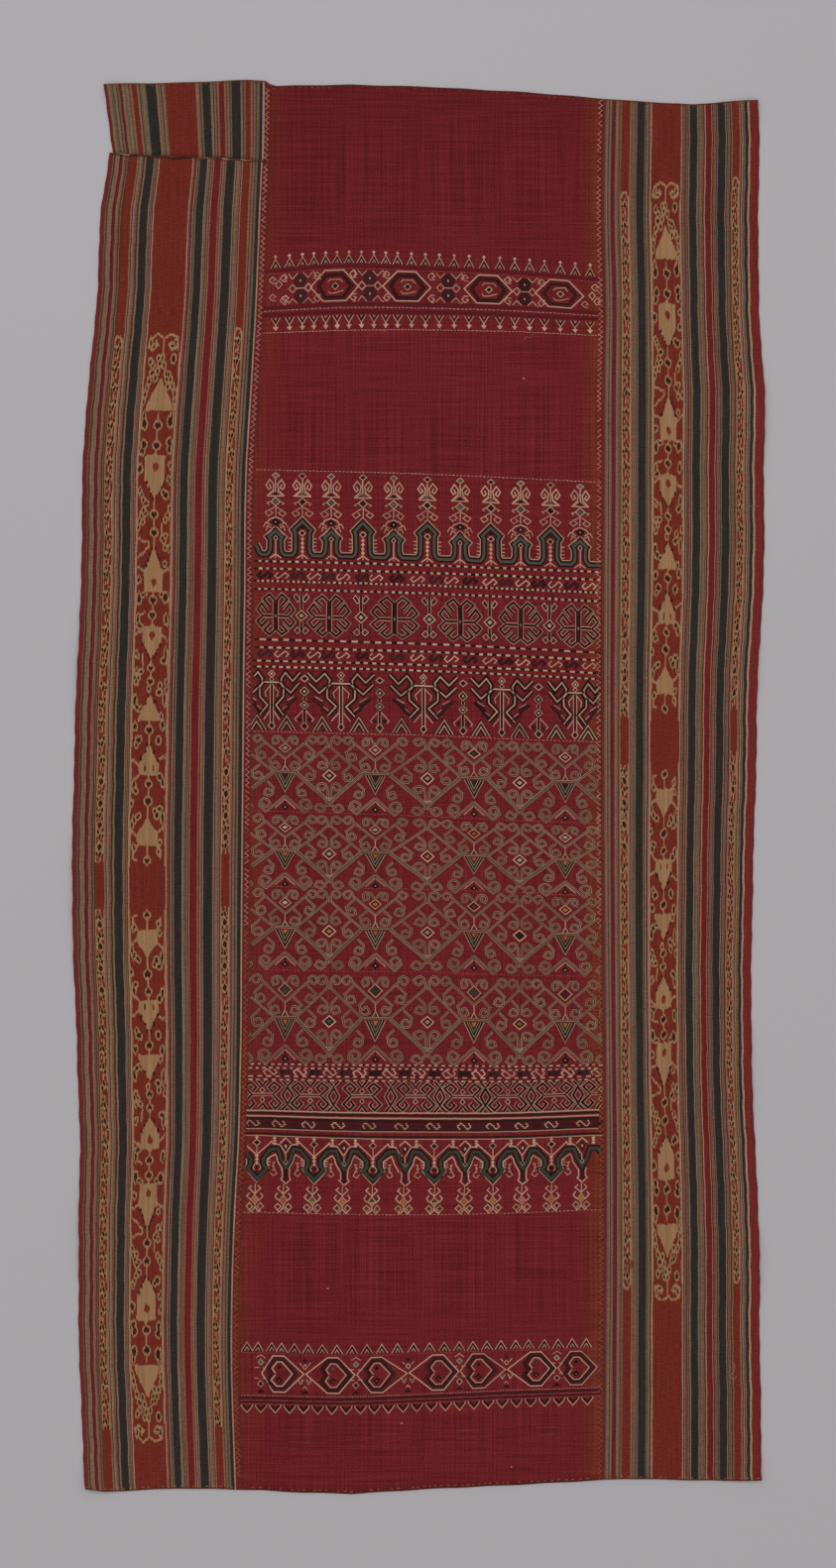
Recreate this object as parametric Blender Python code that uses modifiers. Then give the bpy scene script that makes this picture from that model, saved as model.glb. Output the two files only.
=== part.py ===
# Three-panel ceremonial cloth, laid out flat with its face up.
# Metres, +Z up. X runs across the width and +Y runs to the cloth's top end. The origin is on the
# surface, under the middle of the cloth.

import bpy
import numpy as np

MM = 0.001
SHEET = 1.5 * MM        # thickness of the handspun cotton with its woven-in yarns
GAP = 0.3 * MM          # between two pieces that are sewn edge to edge
ROWS = 38               # steps along a full-length panel
PIECE_ROWS = 4          # steps along the short added length
SIDE_COLUMNS = 6        # steps across a side panel
CENTRE_COLUMNS = 10     # steps across the centre panel
CORNER_PASSES = 4       # passes that settle each point between its edges and its ends

# The long edges, in millimetres from the middle, at stations along the cloth.
LINE_COLUMNS = ("along", "left_selvedge", "left_seam", "right_seam", "right_selvedge")
LINES = (
    (1034, -460, -217, 271, 496),
    (930, -452, -219, 268, 498),
    (850, -463, -222, 267, 497),
    (700, -471, -228, 270, 498),
    (560, -485, -236, 268, 506),
    (480, -490, -241, 268, 505),
    (270, -494, -244, 267, 503),
    (190, -498, -245, 267, 497),
    (50, -503, -246, 267, 494),
    (-170, -506, -248, 268, 488),
    (-390, -499, -250, 270, 487),
    (-530, -495, -254, 271, 492),
    (-600, -496, -258, 271, 496),
    (-820, -496, -264, 270, 499),
    (-1034, -487, -258, 268, 502),
)

# The two ends, in millimetres, at stations across the cloth. The centre panel starts 9 mm lower
# at its top than the side panel that it meets.
END_COLUMNS = ("across", "top", "bottom")
ENDS = (
    (-510, 1028, -1023),
    (-460, 1028, -1031),
    (-350, 1030, -1026),
    (-250, 1034, -1028),
    (-223, 1033, -1029),
    (-213, 1025, -1030),
    (-170, 1026, -1032),
    (-97, 1027, -1034),
    (12, 1024, -1027),
    (157, 1016, -1020),
    (302, 1004, -1012),
    (400, 998, -1014),
    (447, 1002, -1015),
    (510, 1005, -1014),
)

# The selvedge of the short added length, which slants in to its join, and the join itself.
PIECE_COLUMNS = ("along", "selvedge")
PIECE = ((928, -447), (1028, -460))
JOIN_COLUMNS = ("across", "join")
JOIN = ((-510, 929), (-447, 928), (-400, 924), (-350, 922), (-290, 921), (-222, 916))

# Ripples in the selvedges and corners: place, reach and height, in millimetres.
RIPPLE_COLUMNS = ("x", "y", "reach_x", "reach_y", "height")
RIPPLES = (
    (-504, 180, 60, 120, 3.5),
    (-509, -170, 70, 150, 2.5),
    (-499, -660, 60, 110, 3.0),
    (509, 540, 65, 120, 3.5),
    (497, 170, 55, 80, 2.0),
    (502, -420, 60, 110, 2.5),
    (503, -700, 60, 90, 3.0),
    (504, 1012, 80, 70, 4.0),
    (-468, 1036, 70, 55, 3.0),
    (-492, -1032, 75, 70, 4.0),
    (507, -1022, 75, 65, 3.5),
)

# Colour and roughness of each piece.
FINISHES = {
    "left_panel": ((0.105, 0.052, 0.036), 0.88),
    "left_top_piece": ((0.085, 0.035, 0.030), 0.88),
    "centre_panel": ((0.127, 0.014, 0.014), 0.85),
    "right_panel": ((0.105, 0.052, 0.036), 0.88),
}


def clear_scene():
    for old in list(bpy.data.objects):
        bpy.data.objects.remove(old, do_unlink=True)


def column(table, names, name):
    """One named column of a table, in metres."""
    return np.array([row[names.index(name)] for row in table], float) * MM


def smooth_line(stations, values, at):
    """A smooth curve through values at rising stations, read at other places."""
    slopes = np.gradient(values, stations)
    i = np.clip(np.searchsorted(stations, at) - 1, 0, len(stations) - 2)
    step = stations[i + 1] - stations[i]
    t = np.clip((at - stations[i]) / step, 0, 1)
    return (
        (2 * t**3 - 3 * t**2 + 1) * values[i]
        + (t**3 - 2 * t**2 + t) * step * slopes[i]
        + (3 * t**2 - 2 * t**3) * values[i + 1]
        + (t**3 - t**2) * step * slopes[i + 1]
    )


def long_edge(name, y):
    """X of a selvedge or seam at each y."""
    stations = column(LINES, LINE_COLUMNS, "along")[::-1]
    return smooth_line(stations, column(LINES, LINE_COLUMNS, name)[::-1], y)


def end_edge(name, x):
    """Y of the top or bottom end at each x."""
    return np.interp(x, column(ENDS, END_COLUMNS, "across"), column(ENDS, END_COLUMNS, name))


def join_edge(x):
    """Y of the join between the left panel and the short length above it, at each x."""
    return np.interp(x, column(JOIN, JOIN_COLUMNS, "across"), column(JOIN, JOIN_COLUMNS, "join"))


def piece_selvedge(y):
    """X of the short added length's outer edge at each y."""
    stations = column(PIECE, PIECE_COLUMNS, "along")
    return np.interp(y, stations, column(PIECE, PIECE_COLUMNS, "selvedge"))


def lift(x, y):
    """How far the cloth stands off the surface: only in the ripples of its edges."""
    height = np.zeros_like(x)
    for row in RIPPLES:
        ripple = {name: value * MM for name, value in zip(RIPPLE_COLUMNS, row)}
        away_x = (x - ripple["x"]) / ripple["reach_x"]
        away_y = (y - ripple["y"]) / ripple["reach_y"]
        fade = np.cos(np.clip(np.hypot(away_x, away_y), 0, 1) * np.pi / 2) ** 2
        height = np.maximum(height, ripple["height"] * fade)
    return height


def fabric(name):
    color, roughness = FINISHES[name]
    material = bpy.data.materials.new(name)
    material.use_nodes = True
    shader = material.node_tree.nodes["Principled BSDF"]
    shader.inputs["Base Color"].default_value = (*color, 1)
    shader.inputs["Roughness"].default_value = roughness
    shader.inputs["Metallic"].default_value = 0
    return material


def sheet(collection, name, columns, rows, left, right, bottom, top):
    """One piece of cloth between two long edges and two ends, given as functions."""
    bpy.ops.object.select_all(action="DESELECT")
    bpy.ops.mesh.primitive_grid_add(x_subdivisions=columns, y_subdivisions=rows, size=2)
    piece = bpy.context.active_object
    piece.name = name
    piece.data.name = name
    places = np.empty(len(piece.data.vertices) * 3)
    piece.data.vertices.foreach_get("co", places)
    across, along = (places.reshape(-1, 3)[:, :2].T + 1) / 2
    x = left(np.zeros_like(along)) * (1 - across) + right(np.zeros_like(along)) * across
    for _ in range(CORNER_PASSES):
        y = bottom(x) * (1 - along) + top(x) * along
        x = left(y) * (1 - across) + right(y) * across
    piece.data.vertices.foreach_set("co", np.column_stack([x, y, lift(x, y)]).ravel())
    piece.data.shade_smooth()
    thick = piece.modifiers.new("Thickness", "SOLIDIFY")
    thick.thickness = SHEET
    thick.offset = 1
    piece.data.materials.append(fabric(name))
    for home in list(piece.users_collection):
        home.objects.unlink(piece)
    collection.objects.link(piece)


def bottom_end(x):
    return end_edge("bottom", x)


def top_end(x):
    return end_edge("top", x)


def build():
    clear_scene()
    collection = bpy.data.collections.new("ceremonial_cloth")
    bpy.context.scene.collection.children.link(collection)
    half = GAP / 2
    sheet(
        collection, "left_panel", SIDE_COLUMNS, ROWS,
        left=lambda y: long_edge("left_selvedge", y),
        right=lambda y: long_edge("left_seam", y) - half,
        bottom=bottom_end,
        top=lambda x: join_edge(x) - half,
    )
    sheet(
        collection, "left_top_piece", SIDE_COLUMNS, PIECE_ROWS,
        left=piece_selvedge,
        right=lambda y: long_edge("left_seam", y) - half,
        bottom=lambda x: join_edge(x) + half,
        top=top_end,
    )
    sheet(
        collection, "centre_panel", CENTRE_COLUMNS, ROWS,
        left=lambda y: long_edge("left_seam", y) + half,
        right=lambda y: long_edge("right_seam", y) - half,
        bottom=bottom_end,
        top=top_end,
    )
    sheet(
        collection, "right_panel", SIDE_COLUMNS, ROWS,
        left=lambda y: long_edge("right_seam", y) + half,
        right=lambda y: long_edge("right_selvedge", y),
        bottom=bottom_end,
        top=top_end,
    )


build()
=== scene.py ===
import math

import bpy
import numpy as np
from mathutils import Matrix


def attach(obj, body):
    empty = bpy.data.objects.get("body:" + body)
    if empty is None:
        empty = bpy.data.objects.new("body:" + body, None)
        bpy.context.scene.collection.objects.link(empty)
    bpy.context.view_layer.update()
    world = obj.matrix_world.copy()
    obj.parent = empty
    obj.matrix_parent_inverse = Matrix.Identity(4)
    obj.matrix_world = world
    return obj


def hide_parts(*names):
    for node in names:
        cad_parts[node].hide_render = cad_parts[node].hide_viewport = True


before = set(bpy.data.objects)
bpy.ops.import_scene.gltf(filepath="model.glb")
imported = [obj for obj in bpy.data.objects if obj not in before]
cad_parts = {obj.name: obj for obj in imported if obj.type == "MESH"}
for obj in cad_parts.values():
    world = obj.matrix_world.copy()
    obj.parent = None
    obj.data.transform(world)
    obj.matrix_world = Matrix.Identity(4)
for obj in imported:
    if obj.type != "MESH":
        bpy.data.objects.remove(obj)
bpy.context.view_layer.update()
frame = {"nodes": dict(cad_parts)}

mm = 0.001
print("frame loaded:", ", ".join(frame["nodes"]))


# Where the cloth lies, in millimetres from its middle: the long edges at stations along it, the two
# ends at stations across it, and the ripples that stand off the surface
clothLay = {
    "lineNames": ("along", "leftSelvedge", "leftSeam", "rightSeam", "rightSelvedge"),
    "lines": (
        (1034, -460, -217, 271, 496),
        (930, -452, -219, 268, 498),
        (850, -463, -222, 267, 497),
        (700, -471, -228, 270, 498),
        (560, -485, -236, 268, 506),
        (480, -490, -241, 268, 505),
        (270, -494, -244, 267, 503),
        (190, -498, -245, 267, 497),
        (50, -503, -246, 267, 494),
        (-170, -506, -248, 268, 488),
        (-390, -499, -250, 270, 487),
        (-530, -495, -254, 271, 492),
        (-600, -496, -258, 271, 496),
        (-820, -496, -264, 270, 499),
        (-1034, -487, -258, 268, 502),
    ),
    "endNames": ("across", "top", "bottom"),
    "ends": (
        (-510, 1028, -1023), (-460, 1028, -1031), (-350, 1030, -1026), (-250, 1034, -1028),
        (-223, 1033, -1029), (-213, 1025, -1030), (-170, 1026, -1032), (-97, 1027, -1034),
        (12, 1024, -1027), (157, 1016, -1020), (302, 1004, -1012), (400, 998, -1014),
        (447, 1002, -1015), (510, 1005, -1014),
    ),
    "pieceSelvedge": ((928, -447), (1028, -460)),   # of the short added length
    "join": ((-510, 929), (-447, 928), (-400, 924), (-350, 922), (-290, 921), (-222, 916)),
    "rippleNames": ("x", "y", "reachX", "reachY", "height"),
    "ripples": (
        (-504, 180, 60, 120, 3.5), (-509, -170, 70, 150, 2.5), (-499, -660, 60, 110, 3.0),
        (509, 540, 65, 120, 3.5), (497, 170, 55, 80, 2.0), (502, -420, 60, 110, 2.5),
        (503, -700, 60, 90, 3.0), (504, 1012, 80, 70, 4.0), (-468, 1036, 70, 55, 3.0),
        (-492, -1032, 75, 70, 4.0), (507, -1022, 75, 65, 3.5),
    ),
    "seamGap": 0.3,
    "under": 0.15,          # the rough back holds the cloth this far off the floor
    "thickness": 0.9,
    "wander": 0.7,          # how far an edge strays between its stations
    "undulation": 0.35,     # height of the faint rises that stay after the cloth is smoothed out
}


def smoothLine(stations, values, at):
    slopes = np.gradient(values, stations)
    i = np.clip(np.searchsorted(stations, at) - 1, 0, len(stations) - 2)
    step = stations[i + 1] - stations[i]
    t = np.clip((at - stations[i]) / step, 0, 1)
    start = (2 * t**3 - 3 * t**2 + 1) * values[i] + (t**3 - 2 * t**2 + t) * step * slopes[i]
    return start + (3 * t**2 - 2 * t**3) * values[i + 1] + (t**3 - t**2) * step * slopes[i + 1]


def longEdge(name, y):
    table = np.array(clothLay["lines"], float)[::-1]
    x = smoothLine(table[:, 0], table[:, clothLay["lineNames"].index(name)], y)
    if "Selvedge" in name:   # a selvedge draws in a little at each weft's turn
        wander = np.sin(y / 5.3 + x * 0.01) + np.sin(y / 11.7 + 2) + np.sin(y / 29.0 + 1)
        x = x + wander * clothLay["wander"] / 2
    return x


def endEdge(name, x):
    table = np.array(clothLay["ends"], float)
    edge = np.interp(x, table[:, 0], table[:, clothLay["endNames"].index(name)])
    return edge + clothLay["wander"] * np.sin(x / 13.0 + len(name)) / 2


def joinEdge(x):
    table = np.array(clothLay["join"], float)
    return np.interp(x, table[:, 0], table[:, 1])


def pieceSelvedge(y):
    table = np.array(clothLay["pieceSelvedge"], float)
    return np.interp(y, table[:, 0], table[:, 1]) + clothLay["wander"] * np.sin(y / 6.1) / 2


def liftAt(x, y):   # height of the cloth's underside, all in millimetres
    height = np.zeros_like(x)
    for row in clothLay["ripples"]:
        ripple = dict(zip(clothLay["rippleNames"], row))
        awayX = (x - ripple["x"]) / ripple["reachX"]
        awayY = (y - ripple["y"]) / ripple["reachY"]
        fade = np.cos(np.clip(np.hypot(awayX, awayY), 0, 1) * np.pi / 2) ** 2
        height = np.maximum(height, ripple["height"] * fade)
    wave = np.sin(x / 41 + np.sin(y / 90)) * np.sin(y / 67 + np.sin(x / 55) * 1.4) + 1
    return height + clothLay["under"] + clothLay["undulation"] * wave / 2


def onTop(x, y, above=0.0):   # metres, on the cloth's face
    return np.column_stack([x, y, liftAt(x, y) + clothLay["thickness"] + above]) * mm


def underneath(x, y):   # metres, on the cloth's back
    return np.column_stack([x, y, liftAt(x, y)]) * mm


# Each panel between its long edges and its ends, as functions
halfGap = clothLay["seamGap"] / 2
panelEdges = {
    "leftPanel": (
        lambda y: longEdge("leftSelvedge", y),
        lambda y: longEdge("leftSeam", y) - halfGap,
        lambda x: endEdge("bottom", x),
        lambda x: joinEdge(x) - halfGap,
    ),
    "addedPiece": (
        pieceSelvedge,
        lambda y: longEdge("leftSeam", y) - halfGap,
        lambda x: joinEdge(x) + halfGap,
        lambda x: endEdge("top", x),
    ),
    "centrePanel": (
        lambda y: longEdge("leftSeam", y) + halfGap,
        lambda y: longEdge("rightSeam", y) - halfGap,
        lambda x: endEdge("bottom", x),
        lambda x: endEdge("top", x),
    ),
    "rightPanel": (
        lambda y: longEdge("rightSeam", y) + halfGap,
        lambda y: longEdge("rightSelvedge", y),
        lambda x: endEdge("bottom", x),
        lambda x: endEdge("top", x),
    ),
}


def panelPlace(panel, across, along):
    left, right, bottom, top = panelEdges[panel]
    middle = np.zeros_like(along)
    x = left(middle) * (1 - across) + right(middle) * across
    for settle in range(4):
        y = bottom(x) * (1 - along) + top(x) * along
        x = left(y) * (1 - across) + right(y) * across
    return x, y


# Colour and node helpers
def linear(code):
    parts = [int(code[i:i + 2], 16) / 255 for i in (1, 3, 5)]
    return [p / 12.92 if p <= 0.04045 else ((p + 0.055) / 1.055) ** 2.4 for p in parts] + [1.0]


def addNode(tree, kind, links=(), **settings):
    node = tree.nodes.new("ShaderNode" + kind)
    for name, value in settings.items():
        setattr(node, name, value)
    for socket, source in links:
        if hasattr(source, "default_value"):
            tree.links.new(source, node.inputs[socket])
        else:
            node.inputs[socket].default_value = source
    return node


def newMaterial(name, roughness, **sockets):
    material = bpy.data.materials.new(name)
    material.use_nodes = True
    shader = material.node_tree.nodes["Principled BSDF"]
    shader.inputs["Roughness"].default_value = roughness
    for socket, value in sockets.items():
        shader.inputs[socket.replace("_", " ")].default_value = value
    return material, material.node_tree, shader


# Camera, floor and light
def setCamera():
    view = {"framePixels": (843, 1582), "pixel": 1.45, "lens": 85, "sensor": 36, "middle": (-0.7, 4.3)}
    height = view["framePixels"][1] * view["pixel"] * view["lens"] / view["sensor"]
    camera = bpy.data.cameras.new("camera")
    camera.lens = view["lens"]
    camera.sensor_width = view["sensor"]
    camera.clip_end = 50
    holder = bpy.data.objects.new("camera", camera)
    holder.location = (view["middle"][0] * mm, view["middle"][1] * mm, height * mm)
    bpy.context.scene.collection.objects.link(holder)
    bpy.context.scene.camera = holder


def setRoom():
    room = {"floor": "#b3afb2", "floorSize": 9.0, "sky": "#ffffff", "skyStrength": 0.76,
            "lampWatts": 30, "lampSize": 2.4, "lampPlace": (-0.9, 2.2, 3.6)}
    bpy.ops.object.select_all(action="DESELECT")
    bpy.ops.mesh.primitive_plane_add(size=room["floorSize"], location=(0, 0, -0.0002))
    floor = bpy.context.active_object
    floor.name = "floor"
    material, tree, shader = newMaterial("paleStudioFloor", 0.9, Specular_IOR_Level=0.1)
    shader.inputs["Base Color"].default_value = linear(room["floor"])
    floor.data.materials.append(material)
    world = bpy.data.worlds.new("studio")
    world.use_nodes = True
    world.node_tree.nodes["Background"].inputs["Color"].default_value = linear(room["sky"])
    world.node_tree.nodes["Background"].inputs["Strength"].default_value = room["skyStrength"]
    bpy.context.scene.world = world
    lamp = bpy.data.lights.new("softLamp", "AREA")
    lamp.energy = room["lampWatts"]
    lamp.size = room["lampSize"]
    holder = bpy.data.objects.new("softLamp", lamp)
    holder.location = room["lampPlace"]
    towards = -holder.location.normalized()
    holder.rotation_euler = towards.to_track_quat("-Z", "Y").to_euler()
    bpy.context.scene.collection.objects.link(holder)
    bpy.context.scene.view_settings.view_transform = "Standard"


setCamera()
setRoom()
print("camera, floor and light set")


# Warp of the side panels. Each letter is a yarn and each number its threads, side by side, from
# the panel's left edge, as they were wound on the warping frame.
yarnDyes = {
    "c": "#6b2224",   # lac crimson
    "x": "#6b2021",   # scarlet, worn
    "s": "#702926",   # madder, at the selvedges
    "r": "#6f2a20",   # brick red, the ground of the tied stripes
    "d": "#4d2322",   # dark crimson
    "k": "#2e2a28",   # indigo over brown, nearly black
    "w": "#9d7c65",   # undyed cotton, now cream brown
    "t": "#7c604b",   # tan
    "p": "#835746",   # pinkish tan
    "o": "#594a3a",   # olive brown
    "g": "#645843",   # grey tan
    "b": "#453327",   # dark brown
}
leftWarp = (
    "s9 g2 b3 t3 p3 t3 d3 c4 t3 g3 r3 g2 b2 r17 t3 b2 w1 t2 p2 b1 p1 b4 t3 k15 b1 w1 o2 p2 b1 p2 b2 w2 "
    "r69 w2 b2 t1 c4 w1 t1 b2 g3 k14 b1 w1 t2 o1 t2 b2 p3 b2 w1 x14 p3 b2 w1 p2 b1 p1 b1 w1 k16 b2 g1 "
    "w1 b2 t3 p3 b1 p2 b2 w1 r16 t3 b2 p4 b2 g4 b1 k6 w3 c12"
)
addedWarp = (
    "s6 t5 g4 o3 t5 b2 g4 c5 t5 g4 t4 o3 p4 r10 t4 b2 g4 t4 g4 k20 t4 o2 p3 b2 t4 g3 r60 t4 p3 b2 g4 "
    "k16 t5 b2 p4 b2 t4 x10 t4 b2 p4 b2 g3 k18 t4 b2 g4 r10 t4 b2 p4 b2 g6 k6 w4 c10"
)
rightWarp = (
    "s6 g3 t3 b2 p3 g2 d2 c6 t4 g3 r2 g3 r17 t3 o2 p2 b1 p2 o2 g3 k14 b1 g2 b2 w1 p2 b1 p1 b2 w3 r60 "
    "w2 b2 t2 b1 t1 c3 t2 b2 g1 w1 b2 k13 b1 w1 g2 o2 g1 p3 b1 p2 b3 w2 x12 w1 b3 p2 b1 p2 b2 g2 k14 "
    "b1 w1 o1 b2 p2 b1 p2 b3 t2 r14 t3 b2 w1 p2 b1 p1 g2 k6 w4 s18"
)


def warpThreads(order):
    return [(part[0], int(part[1:])) for part in order.split()]


print("threads in the left, added and right warps:",
      [sum(count for yarn, count in warpThreads(order)) for order in (leftWarp, addedWarp, rightWarp)])


def colourRamp(tree, source, stops, interpolation="LINEAR"):
    node = addNode(tree, "ValToRGB", [(0, source)])
    node.color_ramp.interpolation = interpolation
    elements = node.color_ramp.elements
    elements.remove(elements[1])
    for n, (at, colour) in enumerate(stops):
        stop = elements[0] if n == 0 else elements.new(at)
        stop.position = at
        stop.color = colour
    return node.outputs[0]


def panelShare(tree, axis):   # 0 to 1 across a sheet, or along it
    return addNode(tree, "SeparateXYZ", [(0, addNode(tree, "UVMap").outputs[0])]).outputs[axis]


def warpStripes(tree, across, order):
    # A ramp holds 32 colours and blurs over a wide panel, so each covers a short run of stripes
    threads = warpThreads(order)
    total = sum(count for yarn, count in threads)
    perRamp = 20
    colour = None
    place = 0
    for first in range(0, len(threads), perRamp):
        part = threads[first:first + perRamp]
        start = place / total
        end = (place + sum(count for yarn, count in part)) / total
        stops = []
        for yarn, count in part:
            stops.append(((place / total - start) / (end - start), linear(yarnDyes[yarn])))
            place += count
        local = addNode(tree, "MapRange", [(0, across), (1, start), (2, end)])
        stripes = colourRamp(tree, local.outputs[0], stops, "CONSTANT")
        if colour is None:
            colour = stripes
        else:
            past = addNode(tree, "Math", [(0, across), (1, start)], operation="GREATER_THAN")
            mixed = addNode(tree, "Mix", [(0, past.outputs[0]), (6, colour), (7, stripes)],
                            data_type="RGBA")
            colour = mixed.outputs[2]
    return colour


def streaks(tree, scales, amount, colour):
    # Uneven handspun threads: streaks along the warp and the weft, and a fine grain, as light and dark
    place = addNode(tree, "TexCoord").outputs["Object"]
    value = None
    for scale in scales:
        squeezed = addNode(tree, "Mapping", [(0, place), (3, scale)])
        noise = addNode(tree, "TexNoise", [(0, squeezed.outputs[0]), ("Scale", 1.0), ("Detail", 3.0)])
        value = noise.outputs[0] if value is None else addNode(
            tree, "Math", [(0, value), (1, noise.outputs[0])], operation="ADD").outputs[0]
    level = addNode(tree, "MapRange", [(0, value), (1, 0.3 * len(scales)), (2, 0.7 * len(scales)),
                                       (3, 1 - amount), (4, 1 + amount)])
    shaded = addNode(tree, "VectorMath", [(0, colour), ("Scale", level.outputs[0])], operation="SCALE")
    return shaded.outputs[0]


def dulled(tree, stops, colour):
    # Light and handling have dulled the cloth unevenly: (place from the bottom end, brightness)
    levels = colourRamp(tree, panelShare(tree, 1), [(at, (level, level, level, 1)) for at, level in stops])
    return addNode(tree, "VectorMath", [(0, colour), (1, levels)], operation="MULTIPLY").outputs[0]


def weaveBump(tree, shader, pitch, depth):
    # Warp-faced rib: fine ridges along the warp crossed by faint weft rows
    place = addNode(tree, "TexCoord").outputs["Object"]
    warp = addNode(tree, "TexWave", [(0, place), ("Scale", 1 / (pitch * mm * 2)), ("Distortion", 0.4),
                                     ("Detail Scale", 30.0)], wave_type="BANDS", bands_direction="X")
    weft = addNode(tree, "TexWave", [(0, place), ("Scale", 1 / (pitch * 1.4 * mm * 2)), ("Distortion", 0.6),
                                     ("Detail Scale", 30.0)], wave_type="BANDS", bands_direction="Y")
    both = addNode(tree, "Math", [(0, warp.outputs[1]), (1, weft.outputs[1])], operation="ADD")
    bump = addNode(tree, "Bump", [("Height", both.outputs[0]), ("Distance", depth * mm), ("Strength", 0.7)])
    tree.links.new(bump.outputs[0], shader.inputs["Normal"])


def stripedCotton(cut):
    # Handspun cotton, warp-faced: the warp hides the weft, so the stripes stay clean and matte
    material, tree, shader = newMaterial(cut["cotton"], 0.9, Specular_IOR_Level=0.05)
    colour = warpStripes(tree, panelShare(tree, 0), cut["warp"])
    colour = dulled(tree, cut["dulling"], colour)
    colour = streaks(tree, ((420, 12, 1), (110, 430, 1), (330, 430, 1)), 0.5, colour)
    tree.links.new(colour, shader.inputs["Base Color"])
    weaveBump(tree, shader, 1.0, 0.12)
    return material


def redCotton(cut):
    # Madder-dyed cotton, balanced weave with uneven yarn: streaks both ways, browner at the seams
    material, tree, shader = newMaterial(cut["cotton"], 0.88, Specular_IOR_Level=0.05)
    colour = colourRamp(tree, panelShare(tree, 0), [(at, linear(code)) for at, code in cut["dyes"]])
    colour = streaks(tree, ((450, 5, 1), (9, 520, 1), (430, 430, 1)), 0.78, colour)
    colour = dulled(tree, cut["dulling"], colour)
    tree.links.new(colour, shader.inputs["Base Color"])
    weaveBump(tree, shader, 1.1, 0.12)
    return material


# Sheets of cloth: flat sizes and areas in metres, mesh cells in millimetres
sheetCuts = {
    "leftPanel": dict(
        node="left_panel", slot="ikat_cotton", cell=5, flat=(0.244, 1.956), area=0.475,
        cotton="warpFacedCottonLeft", warp=leftWarp,
        dulling=((0, 1.04), (0.2, 1.0), (0.35, 1.0), (0.45, 0.95), (0.8, 0.955), (1, 0.94)),
    ),
    "addedPiece": dict(
        node="left_top_piece", slot="striped_cotton", cell=7, flat=(0.243, 0.112), area=0.0256,
        cotton="warpFacedCottonAdded", warp=addedWarp, dulling=((0, 0.93), (1, 0.91)),
    ),
    "centrePanel": dict(
        node="centre_panel", slot="red_cotton", cell=10, flat=(0.519, 2.054), area=1.053,
        cotton="madderRedCotton",
        dyes=((0, "#6b2921"), (0.03, "#6b2321"), (0.08, "#681f22"), (0.5, "#6a2023"), (0.93, "#6a2023"),
              (0.96, "#6b2722"), (0.98, "#6f2d21"), (1, "#6a2922")),
        dulling=((0, 1.04), (0.2, 1.05), (0.35, 1.02), (0.8, 1.02), (0.9, 0.96), (1, 0.885)),
    ),
    "rightPanel": dict(
        node="right_panel", slot="ikat_cotton", cell=5, flat=(0.231, 2.018), area=0.459,
        cotton="warpFacedCottonRight", warp=rightWarp,
        dulling=((0, 1.01), (0.55, 1.0), (0.62, 1.02), (0.75, 1.0), (0.85, 0.97), (0.93, 0.93), (1, 0.94)),
    ),
}


def makeSheet(name, cut):
    columns = round(cut["flat"][0] / mm / cut["cell"])
    rows = round(cut["flat"][1] / mm / cut["cell"])
    bpy.ops.object.select_all(action="DESELECT")
    bpy.ops.mesh.primitive_grid_add(x_subdivisions=columns, y_subdivisions=rows, size=2)
    sheet = bpy.context.active_object
    sheet.name = name
    flat = np.empty(len(sheet.data.vertices) * 3)
    sheet.data.vertices.foreach_get("co", flat)
    across, along = (flat.reshape(-1, 3)[:, :2].T + 1) / 2
    x, y = panelPlace(name, across, along)
    sheet.data.vertices.foreach_set("co", underneath(x, y).ravel())
    sheet.data.update()
    sheet.data.shade_smooth()
    solid = sheet.modifiers.new("thickness", "SOLIDIFY")
    solid.thickness = clothLay["thickness"] * mm
    solid.offset = 1
    bpy.ops.object.modifier_apply(modifier=solid.name)
    sheet.data.materials.append(stripedCotton(cut) if "warp" in cut else redCotton(cut))
    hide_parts(cut["node"])
    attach(sheet, "root")
    return sheet


sheets = {name: makeSheet(name, cut) for name, cut in sheetCuts.items()}
print("four sheets of cloth laid out")

# Patterning yarns of the centre panel. The charts count squares of 1.45 mm, about two picks each:
# a place on the cloth is counted across and down from the chart's corner, and a motif from its own
# middle, to the right and up
chart = {"square": 1.45, "middle": (422, 794), "wobble": 0.16, "high": 0.26, "flat": 0.14, "sunk": 0.04,
         "longest": 7.0}
# How many squares a weft line falls below its level at five stations, because the cloth was pulled
weftStations = (262, 345, 430, 510, 600)
weftFalls = (
    (88, 0, -1, 0, 4, 11), (271, 5, -1.5, 1, 5, 12), (333, 3, 0, -.5, 1, 5), (474, 0, 2, 4.5, 8, 12.5),
    (566, 0, 2, 4.5, 7.5, 11), (622, 0, 2.5, 5, 9, 14), (672, 0, 2, 4.5, 8, 12.5), (738, 0, 2, 4, 7.5, 10.5),
    (818, 0, 2.5, 5.5, 9.5, 13), (894, 0, 2, 3.5, 6, 10), (978, 0, 2, 2.5, 5.5, 7),
    (1073, 0, 1, 1.5, 2.5, 1), (1105, 0, 1.5, 2, 2, -1), (1145, 0, 3, 4, 3.5, 0), (1223, 0, 2, 2.5, 1, -2.5),
    (1364, 0, 3, .5, -2, -4), (1408, 0, 1.5, -1.5, -5, -8), (1506, 0, 3, 0, -3.5, -9),
)
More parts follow.
